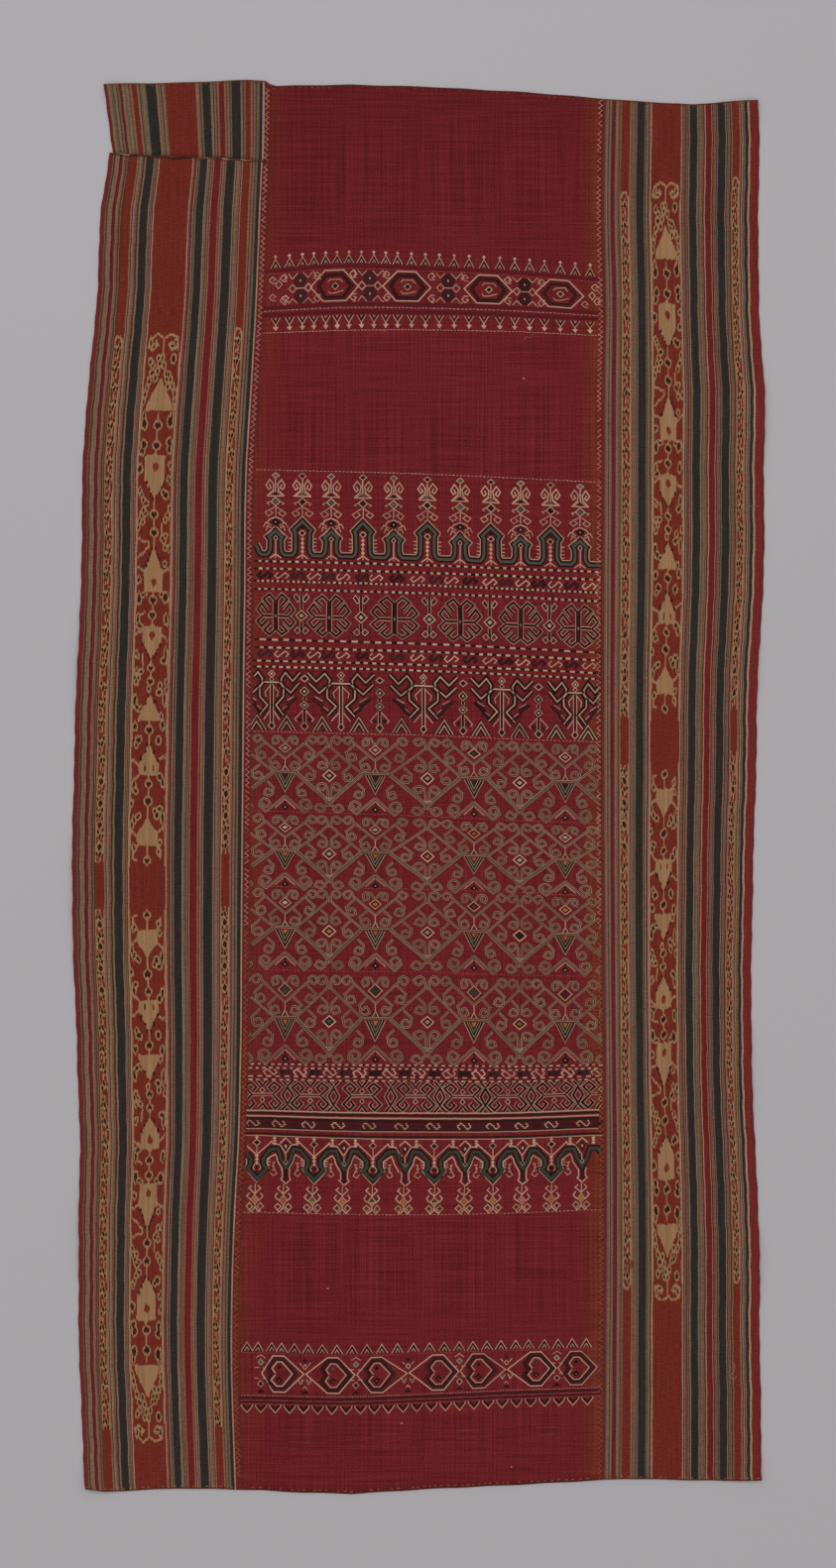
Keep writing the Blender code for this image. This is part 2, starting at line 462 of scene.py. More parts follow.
yarnColours = {   # tones of each dyed skein
    "cream": ("#b18d77", "#bb9680", "#a8836d"),
    "paleCream": ("#a5806c", "#ad8a75", "#9d7864"),
    "greyCream": ("#a28d72", "#ac977b", "#988368"),
    "pinkCream": ("#a9766a", "#b07f70", "#a06c60"),
    "black": ("#251611", "#2a1a14", "#20120e"),
    "purple": ("#3a191c", "#421d20", "#321518"),
    "crimson": ("#48181b", "#4d1a1d", "#431619"),
    "olive": ("#40332a", "#473a2f", "#382c24"),
    "moss": ("#342c1f", "#3b3324", "#2d261a"),
    "wine": ("#5a1a1f", "#601c21", "#54181d"),
    "grey": ("#4b5045", "#53584c", "#43483e"),
    "green": ("#31493d", "#395245", "#2b4135"),
    "orange": ("#a2542a", "#aa5d30", "#994c25"),
    "yellow": ("#a07a28", "#a98331", "#957020"),
    "pink": ("#a5615a", "#ad6a62", "#9b5850"),
    "rust": ("#5e2a1c", "#653020", "#572518"),
    "madder": ("#84433a", "#8d4b41", "#7a3b33"),
    "ochre": ("#80552c", "#895d33", "#774d26"),
}
yarnTones = [(yarn, tone) for yarn in yarnColours for tone in range(3)]
rng = np.random.default_rng(7)


def yarnMaterials():
    # Plied cotton floats wrapped round the warp: matte, and ribbed across at each wrap
    made = []
    for yarn, tone in yarnTones:
        name = "wrappedCotton" + yarn[0].upper() + yarn[1:] + "ABC"[tone]
        material, tree, shader = newMaterial(name, 0.86, Specular_IOR_Level=0.06)
        shader.inputs["Base Color"].default_value = linear(yarnColours[yarn][tone])
        place = addNode(tree, "TexCoord").outputs["Object"]
        wraps = addNode(tree, "TexWave", [(0, place), ("Scale", 1 / (0.7 * mm * 2)), ("Distortion", 1.2)],
                        wave_type="BANDS", bands_direction="DIAGONAL")
        fibres = addNode(tree, "TexNoise", [(0, place), ("Scale", 2500.0)])
        both = addNode(tree, "Math", [(0, wraps.outputs[1]), (1, fibres.outputs[0])], operation="ADD")
        bump = addNode(tree, "Bump", [("Height", both.outputs[0]), ("Distance", 0.12 * mm),
                                      ("Strength", 0.6)])
        tree.links.new(bump.outputs[0], shader.inputs["Normal"])
        made.append(material)
    return made


wrappedYarns = yarnMaterials()


def weftFall(across, down):
    rows = np.array(weftFalls, float)
    stations = np.array(weftStations, float)
    falls = np.array([smoothLine(stations, row[1:], np.clip(across, 255, 612)) for row in rows])
    level = np.clip(np.interp(down, rows[:, 0], np.arange(len(rows))), 0, len(rows) - 1.001)
    above = level.astype(int)
    part = level - above
    at = np.arange(len(across))
    return falls[above, at] * (1 - part) + falls[above + 1, at] * part


def chartPlace(across, down):   # millimetres on the cloth
    fallen = down + weftFall(across, down)
    return (across - chart["middle"][0]) * chart["square"], (chart["middle"][1] - fallen) * chart["square"]


def clothPlace(x, y):   # for what is laid out in millimetres already
    return x, -y


def onChart(points):   # chart places in millimetres, without the weft's fall
    return [((a - chart["middle"][0]) * chart["square"], (chart["middle"][1] - b) * chart["square"])
            for a, b in points]


def seamSquares(down):
    y = np.array([(chart["middle"][1] - down) * chart["square"]])
    seams = [longEdge(name, y)[0] for name in ("leftSeam", "rightSeam")]
    return [x / chart["square"] + chart["middle"][0] for x in seams]


def startWork():
    return {"points": [], "faces": [], "yarns": [], "count": 0}


def addYarn(work, yarn, points, faces):
    work["points"].append(points)
    work["faces"].append(np.asarray(faces) + work["count"])
    tone = yarnTones.index((yarn, int(rng.integers(3))))
    work["yarns"].append(np.full(len(faces), tone))
    work["count"] += len(points)


def mitres(path, closed):
    ahead = np.roll(path, -1, 0) - path
    if not closed:
        ahead = ahead[:-1]
    ahead = ahead / np.maximum(np.linalg.norm(ahead, axis=1), 1e-6)[:, None]
    side = np.column_stack([-ahead[:, 1], ahead[:, 0]])
    before = np.roll(side, 1, 0) if closed else np.vstack([side[:1], side])
    after = side if closed else np.vstack([side, side[-1:]])
    both = before + after
    return both * 2 / np.maximum((both**2).sum(1), 1.0)[:, None]


def yarnTip(end, inner, width):   # where a float dives back into the cloth
    return end + (end - inner) / max(np.linalg.norm(end - inner), 1e-6) * width * 0.35


def ribbon(work, yarn, path, width, closed=False, high=None):
    # One float of yarn as a low arch: its left foot, its ridge and its right foot
    side = mitres(path, closed) * width / 2
    n = len(path)
    flat = np.vstack([path + side, path, path - side])
    high = chart["high"] if high is None else high
    heights = np.repeat([-chart["sunk"], high, -chart["sunk"]], n)
    i = np.arange(n if closed else n - 1)
    j = (i + 1) % n
    faces = [np.column_stack(f) for f in ((i + n, j + n, j), (i + n, j, i), (i + 2 * n, j + 2 * n, j + n),
                                          (i + 2 * n, j + n, i + n))]
    if not closed:
        flat = np.vstack([flat, yarnTip(path[0], path[1], width), yarnTip(path[-1], path[-2], width)])
        heights = np.append(heights, [0, 0])
        faces.append(np.array([(3 * n, n, 0), (3 * n, 2 * n, n), (2 * n - 1, 3 * n + 1, n - 1),
                               (3 * n - 1, 3 * n + 1, 2 * n - 1)]))
    addYarn(work, yarn, np.column_stack([flat, heights]), np.vstack(faces))


def shortened(path, closed):   # long floats get points between, to follow the cloth
    ends = np.vstack([path, path[:1]]) if closed else path
    out = []
    for a, b in zip(ends[:-1], ends[1:]):
        parts = max(1, math.ceil(np.linalg.norm(b - a) / chart["longest"]))
        out += [a + (b - a) * k / parts for k in range(parts)]
    if not closed:
        out.append(ends[-1])
    return np.array(out)


# The widths of the yarns that lie side by side in one stroke: (offset, width, yarn)
strokes = {
    "cream": ((0, 1.3, "cream"),),
    "thinCream": ((0, 0.9, "cream"),),
    "pink": ((0, 1.3, "pinkCream"),),
    "triple": ((1.45, 0.6, "cream"), (0, 2.45, "black"), (-1.45, 0.6, "cream")),
    "fineTriple": ((1.45, 0.6, "cream"), (0, 2.4, "black"), (-1.45, 0.6, "cream")),
    "scroll": ((0.75, 0.5, "greyCream"), (0, 1.1, "moss"), (-0.75, 0.5, "greyCream")),
    "wideScroll": ((1.45, 0.5, "greyCream"), (0.75, 1.1, "moss"), (0, 0.4, "greyCream"),
                   (-0.75, 1.1, "moss"), (-1.45, 0.5, "greyCream")),
    "edged": ((0, 1.4, "cream"), (1.8, 2.3, "black"), (-1.8, 2.3, "black")),
}


def stroke(work, kind, at, points, mirror=False, closed=False, tall=1.0, wide=1.0):
    base = np.array(points, float) * (wide, tall)
    for flip in ((1, -1) if mirror else (1,)):
        wobble = np.clip(rng.normal(0, chart["wobble"], base.shape), -0.35, 0.35)
        path = (base + wobble) * (flip, 1) + (at[0], -at[1])
        path = shortened(path, closed)
        side = mitres(path, closed)
        parts = strokes[kind] if isinstance(kind, str) else kind
        for offset, width, yarn in parts:
            ribbon(work, yarn, path + side * offset * flip, width, closed)


def paired(work, kind, at, points, **shape):   # a stroke and its mirror image
    stroke(work, kind, at, points, mirror=True, **shape)


def vees(work, at, layers, tall=1.0):   # nested points: (yarn, width, half span, foot, tip)
    for yarn, width, half, foot, tip in layers:
        stroke(work, ((0, width, yarn),), at, ((-half, foot), (0, tip), (half, foot)), tall=tall)


def patch(work, yarn, at, outline, mirror=False, high=None, tall=1.0):
    base = np.array(outline, float) * (1, tall)
    high = chart["flat"] if high is None else high
    for flip in ((1, -1) if mirror else (1,)):
        shape = base * (flip, 1) + np.clip(rng.normal(0, 0.1, base.shape), -0.2, 0.2)
        turn = np.roll(shape, -1, 0)
        if (shape[:, 0] * turn[:, 1] - turn[:, 0] * shape[:, 1]).sum() < 0:
            shape = shape[::-1]
        n = len(shape)
        flat = np.vstack([shape, shape.mean(0)]) + (at[0], -at[1])
        heights = np.append(np.full(n, high * 0.3), high)
        faces = [(n, k, (k + 1) % n) for k in range(n)]
        addYarn(work, yarn, np.column_stack([flat, heights]), faces)


def lozenge(half):
    return ((half[0], 0), (0, half[1]), (-half[0], 0), (0, -half[1]))


def bead(work, yarn, at, half, high=None):
    patch(work, yarn, at, lozenge(half), high=high)


def diamond(work, at, half, rings, core=None, tall=1.0):
    # Rings of yarn from the outside in, or the width of one cream ring, and the filled core
    rings = (("cream", rings),) if np.isscalar(rings) else rings
    left = np.array(half, float) * (1, tall)
    for yarn, width in rings:
        left = left - width * 0.7
        stroke(work, ((0, width, yarn),), at, lozenge(left), closed=True)
        left = left - width * 0.7
    if core and left.min() > 0.3:
        patch(work, core, at, lozenge(left + 0.3), high=0.2)


def shifted(points, dx, dy):
    return [(x + dx, y + dy) for x, y in points]


def weftRow(work, level, parts):
    # A row of floats of turning yarns along one weft: (yarn, length, thickness, gap after)
    left, right = seamSquares(level)
    x = left + 1.5 + rng.random() * 3
    n = 0
    while x < right - 2:
        yarn, length, thick, gap = parts[n % len(parts)]
        length = length * rng.uniform(0.85, 1.15)
        lift = rng.uniform(-0.2, 0.2)
        path = np.array([(x, -level + lift), (x + length, -level + lift)])
        ribbon(work, yarn, shortened(path, False), thick * rng.uniform(0.85, 1.15))
        x += length + gap
        n += 1


def weftLine(work, level, yarn, thick):
    left, right = seamSquares(level)
    steps = np.arange(left + 0.6, right - 0.6, 5.0)
    path = np.column_stack([steps, -level + rng.normal(0, 0.1, len(steps))])
    ribbon(work, yarn, path, thick)


def weftBand(work, level, deep, yarn):   # solid wefts side by side
    count = max(1, round(deep / 1.6))
    for n in range(count):
        weftLine(work, level + (n + 0.5) * deep / count, yarn, deep / count * 1.15)


def finishWork(work, name, panel="centrePanel", place=chartPlace, materials=None):
    points = np.vstack(work["points"])
    faces = np.vstack(work["faces"])
    tones = np.concatenate(work["yarns"])
    x, y = place(points[:, 0], -points[:, 1])
    left, right, bottom, top = panelEdges[panel]
    inside = (x > left(y) - 0.1) & (x < right(y) + 0.1) & (y > bottom(x)) & (y < top(x))
    kept = inside[faces].all(axis=1)
    faces = faces[kept]
    tones = tones[kept]
    used = np.unique(faces)
    renumbered = np.zeros(len(points), int)
    renumbered[used] = np.arange(len(used))
    faces = renumbered[faces]
    mesh = bpy.data.meshes.new(name)
    mesh.vertices.add(len(used))
    mesh.vertices.foreach_set("co", onTop(x[used], y[used], points[used, 2]).ravel())
    mesh.loops.add(faces.size)
    mesh.loops.foreach_set("vertex_index", faces.ravel())
    mesh.polygons.add(len(faces))
    mesh.polygons.foreach_set("loop_start", np.arange(len(faces)) * 3)
    shown, tones = np.unique(tones, return_inverse=True)
    for tone in shown:
        mesh.materials.append((materials or wrappedYarns)[tone])
    mesh.polygons.foreach_set("material_index", tones.astype(np.int32))
    mesh.update(calc_edges=True)
    mesh.validate()
    mesh.shade_smooth()
    piece = bpy.data.objects.new(name, mesh)
    bpy.context.scene.collection.objects.link(piece)
    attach(piece, "root")
    print(name, len(faces), "triangles")


def hookRow(work, level):
    # Cream S-shaped hooks, with a thick purple one between each two
    hook = ((-3.7, 3.2), (-7, 0), (-4.3, -3.1), (0, 0), (3.6, 3.2), (7, .3), (4.2, -2.5))
    for x in (284, 317, 346, 379, 421, 455, 494, 527, 560, 594):
        stroke(work, "cream", (x, level), hook)
    for x in (267, 300, 331, 366, 400, 440, 474, 510, 543, 576):
        stroke(work, ((0, 3.6, "purple"),), (x, level), hook, wide=0.95)


# Top band: a row of hexagons and crossed lines between two rows of small triangles
def topBand():
    work = startWork()
    triangles = (278, 292, 305, 316.5, 328.5, 340, 352, 364.5, 377, 389, 401, 415, 429, 443, 458, 473, 488,
                 504, 519, 534, 549, 565, 580, 595)
    for x in triangles:
        at = (x, 258.5)
        vees(work, at, (("cream", 0.9, 4.8, -8.7, 0), ("black", 1.9, 3.2, -8.3, -2.1),
                        ("cream", 0.7, 1.4, -7.9, -5)))
        patch(work, "cream", at, ((2, 2.4), (0, 4.4), (-2, 2.4), (-0.5, 1.8), (-0.5, 0), (0.5, 0),
                                  (0.5, 1.8)))
        at = (x, 318.5)
        vees(work, at, (("cream", 0.9, 4.5, 0, -7.5), ("black", 1.9, 2.8, 0, -5.3),
                        ("cream", 0.7, 1, 0, -2.4)))
        patch(work, "cream", at, ((0.6, -7.2), (0.8, -9), (2.9, -9.4), (1.6, -11), (0, -13.4), (-1.6, -11),
                                  (-2.9, -9.4), (-0.8, -9), (-0.6, -7.2)))
    weftBand(work, 267, 4.5, "wine")
    weftBand(work, 306, 4, "wine")
    weftBand(work, 312.5, 4.5, "wine")
    weftRow(work, 272.6, (("madder", 1.2, 0.8, 1.3),))
    weftRow(work, 311, (("paleCream", 2.4, 0.8, 1.6),))
    weftRow(work, 333.5, (("paleCream", 2.2, 0.8, 1.4),))
    spiral = ((3.4, -3.4), (-0.6, -3.6), (-3.4, 0), (0, 3.4), (3.2, 0.4), (0.6, -1.2))
    eightSided = ((6.4, 1.8), (3, 7), (-3, 7), (-6.4, 1.8), (-6.4, -1.8), (-3, -7), (3, -7), (6.4, -1.8))
    hexagon = ((-25, 0), (-10.5, 15.5), (8.5, 15.5), (23.5, -.5), (11, -14.5), (-12, -14.5))
    innerHexagon = ((-16.8, 0), (-9.6, 11), (7.6, 11), (16, 0), (8.6, -11.6), (-10, -11.6))
    for x in (338, 411, 493, 565):
        at = (x, 289.5)
        stroke(work, "cream", at, hexagon, closed=True)
        stroke(work, ((1.1, 2.2, "purple"), (-0.9, 1.9, "black")), at, innerHexagon, closed=True)
        diamond(work, at, (4, 4), 1, "black")
        stroke(work, "thinCream", at, ((-7, 4), (-5, 6.5), (5, 7), (7.5, 3.5)))
        stroke(work, "thinCream", at, ((-7, -5), (-5, -7), (0, -7), (8, -4.5)))
    for x in (303, 373, 452, 529):
        at = (x, 289.5)
        for dy in (7.5, -8):
            middle = (x, at[1] - dy)
            patch(work, "purple", middle, eightSided, high=0.2)
            bead(work, "cream", middle, (1.4, 2.2), 0.34)
        for side in (-1, 1):
            diamond(work, (x + 8 * side, at[1]), (4.4, 4.9), 1)
            for way in (-1, 1):
                stroke(work, "thinCream", (x + 14.5 * side, at[1] - 12.5 * way),
                       ((-1.5, 3.4 * way), (1.5, -1), (-1.5, -3.4)))
                stroke(work, "thinCream", (x + 17 * side, at[1] - 11.5 * way),
                       [(a, b * way) for a, b in spiral])
        paired(work, "thinCream", at, ((12, 15), (8, 10), (3, 15)))
        paired(work, "thinCream", at, ((12, -15), (8, -10), (3, -15)))
        stroke(work, "thinCream", at, ((-3.4, 0), (3.4, 0)))
    diamond(work, (281, 284), (4, 5), 1)
    diamond(work, (597, 289), (4, 5), 1)
    for x, y in ((275, 297), (288, 299), (590, 299), (602, 295), (275, 279), (600, 279)):
        stroke(work, "thinCream", (x, y), spiral)
    finishWork(work, "topBandYarns")


# Border above the middle: horned finials, the stepped meander below them and the dotted rows
def borderBand():
    work = startWork()
    weftRow(work, 474, (("paleCream", 2.2, 0.8, 1.6),))
    finials = (278, 305, 334, 366, 397, 431, 464, 495, 525, 555, 585)
    for n, x in enumerate(finials):
        at = (x, 500)
        fills = ("grey", "black") if n % 2 == 0 else ("black", "grey")
        diamond(work, (x, 479.4), (4.2, 3.5), 1, fills[0])
        stroke(work, "cream", at, ((0, 17.4), (0, 4.5)))
        paired(work, "cream", at, ((-8.3, .3), (-2.6, 5.8), (-1.9, 11.5), (-5.7, 16.6), (-9.6, 10.9),
                                   (-7, 6.4), (-4.5, 8.3), (-6.4, 11.5)))
        stroke(work, "cream", at, ((-8.7, 0), (8.7, 0)))
        paired(work, "thinCream", at, ((-6.2, 1), (-1.4, 4.9)))
        patch(work, fills[1], at, ((0, 4.5), (-2.8, 0.4), (2.8, 0.4)))
        diamond(work, (x, 505.7), (5.2, 5), (("cream", 1.1), ("black", 0.8)), fills[0])
        paired(work, "thinCream", (x, 505.7), ((-3.5, .6), (-8.5, -1.6), (-6.5, -3.2)))
        stroke(work, "thinCream", at, ((0, -10.5), (0, -20)))
        paired(work, "thinCream", at, ((-1, -10.8), (-10.7, -16.9), (-7.2, -20.7), (-2.8, -17.2),
                                       (-5.6, -15)))
    arches = [("tall" if n % 2 else "short", x) for n, x in enumerate(finials)]
    tallArch = ((-6.9, -553), (-6.9, -537), (-8.7, -534), (0, -525.2), (8.7, -534), (6.9, -537),
                (6.9, -553))
    shortArch = ((-5.2, -553), (-5.2, -544), (-6.9, -541.5), (0, -535), (6.9, -541.5), (5.2, -544),
                 (5.2, -553))
    path = [(258, -550), (260, -553)]
    for kind, x in arches:
        points = shifted(tallArch if kind == "tall" else shortArch, x, 0)
        corner = path[-1][0]
        path += [(corner + 1, -556.6), (corner + 3.6, -559.4), (points[0][0] - 3.6, -559.4),
                 (points[0][0] - 1, -556.6)]
        path += points
    path += [(591.4, -556.6), (594, -559.4), (606, -559.4)]
    stroke(work, ((3.7, 1.1, "cream"), (2.2, 1.9, "black"), (0.65, 1.4, "grey"), (-0.65, 1.4, "grey"),
                  (-2.2, 1.9, "black")), (0, 0), path)
    for kind, x in arches:
        foot = (x, 558.6)
        if kind == "tall":
            patch(work, "black", (x, 532.5), ((-3, 2), (3, 2), (0, -2)))
            diamond(work, (x, 537), (3.8, 3.6), 1, "black")
            for n in range(4):
                bead(work, "cream", (x, 543 + n * 4.2), (1.9, 2.3), 0.22)
            for y in (542.6, 546.4, 550, 553.5):
                paired(work, "thinCream", (x, y), ((-10.6, 0), (-14, 0.3)))
        else:
            diamond(work, (x, 542.4), (2.8, 3.2), 1, "black")
            stroke(work, "cream", (x, 545.6), ((0, 0), (0, -14)))
            eye = (x, 526.3)
            bead(work, "black", eye, (4.8, 4.3), 0.2)
            bead(work, "cream", eye, (1.3, 1.3), 0.34)
            stroke(work, ((0, 2.4, "purple"),), eye, ((0, -3.5), (0, -6.6)))
            stroke(work, "cream", (x, 521.6), ((-8.7, -6), (-6, -2), (0, 0), (6, -2), (8.7, -6)))
            for hand in (((4.5, -3.5), (10, -.5), (12.5, -5)), ((4.5, -6), (8, -4), (9.5, -8.5)),
                         ((3.5, -8), (8.5, -13.5))):
                paired(work, "thinCream", eye, hand)
        stroke(work, "cream", foot, ((-5.5, -4), (0, 0), (5.5, -4)))
        stroke(work, "thinCream", foot, ((0, -1), (0, -4)))
    for level, dark, pale in ((566, 3.9, 3.2), (573.5, 3.9, 3.2), (586, 2.3, 2.4), (594, 3.2, 3)):
        weftRow(work, level, (("black", dark, 2.4, 0.2), ("cream", pale, 2.2, 0.3)))
    hookRow(work, 580.3)
    finishWork(work, "borderYarns")


# Rosettes with bobbins between them, and two dashed rows with a row of S hooks
def rosetteBand():
    work = startWork()
    petals = (
        ((1.2, 16), (6, 21.8), (11.6, 17), (6, 10.2)), ((12.6, 0), (17.9, 6.4), (13.8, 12.8), (8.2, 4.8)),
        ((12.6, 0), (17.9, -5.6), (14, -11), (8, -4.2)),
        ((1, -13.8), (6, -18.6), (10.8, -14.4), (5.6, -8.4)),
    )
    for x, wide in ((278, 1.03), (332, 1.14), (398, 1.28), (464, 1.15), (525, 1.16), (583, 1.12)):
        at = (x, 621)
        for petal in petals:
            paired(work, "triple", at, petal, wide=wide)
        stroke(work, ((2.7, 0.6, "cream"), (1.2, 2.5, "black"), (-1.2, 2.5, "black"), (-2.7, 0.6, "cream")),
               at, ((0, 15.8), (0, 0), (0, -14.5)))
        paired(work, ((1.6, 0.7, "cream"), (0, 2.4, "black"), (-1.6, 0.7, "cream")), at, ((3, 0), (12.3, 0)),
               wide=wide)
        bead(work, "pink", at, (1.2, 1.8), 0.34)
    leaves = (((1.5, 16.3), (5.1, 21.9), (7.9, 18.8), (3.6, 13.7)),
              ((.8, -15.8), (3.9, -18.7), (7.7, -15.1), (3.6, -11.5)))
    for x in (304, 364, 433, 494, 554):
        at = (x, 620)
        diamond(work, at, (6.8, 6.6), (("cream", 1.2), ("black", 2.1)), "cream")
        stroke(work, "triple", at, ((0, 6.6), (0, 21)))
        stroke(work, "triple", at, ((0, -6.6), (0, -16.5)))
        for leaf in leaves:
            paired(work, ((0, 0.9, "cream"), (-1.1, 1.2, "black")), at, leaf, closed=True)
    for level, part in ((645, 5.4), (653, 4), (666.5, 4.2), (672.5, 3.4)):
        weftRow(work, level, (("black", part, 2.4, 0.3), ("cream", part, 2.2, 0.3)))
    hookRow(work, 659.6)
    finishWork(work, "rosetteYarns")


# Standing figures, large and small in turn, over a row of nested triangles
def figureBand():
    work = startWork()
    for x, wide in ((274, 1.05), (344, 1.24), (427, 1.27), (506, 1.17), (580, 1.0)):
        at = (x, 688)
        scale = dict(mirror=True, wide=wide)
        diamond(work, (x, 679.4), (4.1, 4.3), (("cream", 0.9), ("black", 1.2)), "cream")
        diamond(work, (x, 685), (2.6, 2.6), 0.8, "black")
        stroke(work, ((0, 1.7, "cream"), (-1.4, 1.1, "black"), (1.3, 0.8, "black")), at,
               ((-7.4, 0), (7.4, 0)), wide=wide)
        stroke(work, "edged", at, ((7.4, 0), (11.5, -6), (11.2, -14.6), (4, -23), (11, -32.5)), **scale)
        stroke(work, "edged", at, ((26.8, 10), (20, 1.5), (13.2, 10), (9, 3.4), (9.6, -1.6), (18, -10.4),
                                   (26, -.3)), **scale)
        stroke(work, ((0, 1, "cream"), (1, 1, "black")), at, ((1, -2.5), (6.6, -9.6), (5.4, -14.4)),
               **scale)
        stroke(work, ((1.6, 1, "cream"), (0, 2.1, "black"), (-1.6, 1, "cream")), at, ((0, -2), (0, -41)))
        diamond(work, (x, 731.7), (3.9, 4.6), 1, "black")
        stroke(work, ((0, 1.6, "pinkCream"), (1.6, 1.8, "purple")), at, ((2.2, -29.4), (7.6, -37.4)),
               **scale)
        stroke(work, ((0, 4.2, "purple"),), at, ((22.6, -14.6), (16, -20.6), (15.2, -24.4), (9.6, -30)),
               **scale)
        stroke(work, ((0, 1.7, "black"),), at, ((24.4, -15), (17.6, -22), (16, -26), (10.6, -31.4)),
               **scale)
        stroke(work, "pink", at, ((21, -14), (15.2, -18)), **scale)
        stroke(work, "pink", at, ((14.2, -23.6), (10.4, -27.8)), **scale)
    for x in (307, 383, 467, 543):
        diamond(work, (x, 683.7), (4.6, 4), 1.1, "black")
        diamond(work, (x, 696.6), (6, 6.4), (("black", 0.8), ("cream", 0.8), ("black", 1.9)), "cream")
        diamond(work, (x, 710.3), (5.8, 5.4), (("black", 0.7), ("cream", 0.7), ("black", 1.7)), "cream")
        stroke(work, "triple", (x, 715), ((0, 12.6), (0, 9.5)))
        stroke(work, "triple", (x, 715), ((0, 0), (0, -13)))
        diamond(work, (x, 731.7), (4.4, 4.9), 1, "black")
        paired(work, "pink", (x, 715), ((-2, -1.4), (-9.5, -9.6), (-7.5, -12)))
        patch(work, "purple", (x, 715), shifted(lozenge((2.8, 3)), 5, -10), mirror=True)
    for x in (259, 289, 325, 362, 405, 448, 485, 524, 561, 593):
        vees(work, (x, 721), (("black", 1, 10.6, -15.4, 1.6), ("greyCream", 1, 9.2, -15.3, -0.4),
                              ("black", 1.4, 7.6, -15.2, -2.7), ("greyCream", 1, 5.2, -15, -6.6),
                              ("black", 1.7, 3.5, -14.6, -9)))
    weftRow(work, 738, (("pinkCream", 2.2, 0.7, 1.8),))
    finishWork(work, "figureYarns")


# Scroll field: four rows of rhombi with scrolls in and around them
def curl(lead, middle, reach, begin, way, turns=1.1):
    # The points that lead to a scroll, then its turns, which close in on the middle. The first turn
    # has a corner opposite the lead
    angles = math.radians(begin) + way * np.linspace(0, turns * 2 * math.pi, round(turns * 8) + 1)
    radii = np.linspace(reach, reach * 0.34, len(angles)) + 0.5
    radii[4] += 1.0
    turned = np.column_stack([middle[0] + radii * np.cos(angles), middle[1] + radii * np.sin(angles)])
    return list(lead) + [tuple(p) for p in turned]


rhombusScrolls = (
    curl(((1.4, 26), (1.5, 30)), (7, 33.4), 4.7, 190, -1),
    curl(((8.2, 18.8), (2.6, 13.6)), (6.3, 8.2), 4.4, 160, 1),
    curl(((20.4, 7.4), (13.2, 0.4)), (18.4, -3.8), 4.5, 150, 1),
    curl(((1.7, -25.5), (1.7, -19)), (7, -15), 4.6, 190, -1),
    curl(((1.3, -31), (1.3, -33.5)), (8.8, -35.6), 4.8, 165, 1),
)
combScrolls = (
    curl(((0, 13.6), (21.6, 31.6)), (28, 33.4), 4.7, 190, -1),
    curl(((21.4, 29.6), (30.2, 21.6)), (24.4, 17.6), 4.6, 25, -1),
    curl(((8.6, 18.4), (16.2, 11.6)), (10, 7.4), 4.7, 25, -1),
    curl(((0.6, 30), (5, 36)), (9.2, 32.4), 3.8, 120, -1),
    curl(((0, -24.6), (19.6, -41.6), (26.4, -36)), (20.6, -33.4), 5.4, -10, 1),
    curl(((18.2, -10.4), (12, -16.4)), (17.2, -21), 4.6, 155, 1),
)
rhombusCores = (
    ("pink", "pinkCream", "pinkCream", "pinkCream", "pink"),
    ("pink", "pinkCream", "orange", "cream", "pink"), ("pink", "orange", "pinkCream", "black", "pink"),
    ("pink", "green", "pink", "orange", "pink"),
)
combCores = (("pinkCream", "pinkCream", "olive", "pinkCream"), ("cream", "cream", "orange", "cream"),
             ("cream", "orange", "rust", "orange"), ("olive", "olive", "olive", "crimson"))
combLines = (
    ("greyCream", 0.7, 10, -1.8, -20.8), ("black", 1.3, 8.5, -1.8, -18.2),
    ("greyCream", 0.6, 7.1, -1.8, -15.6), ("black", 1.3, 5.8, -1.8, -13.2),
    ("greyCream", 0.6, 4.5, -1.8, -10.8), ("black", 1.2, 3.3, -1.8, -8.6),
)


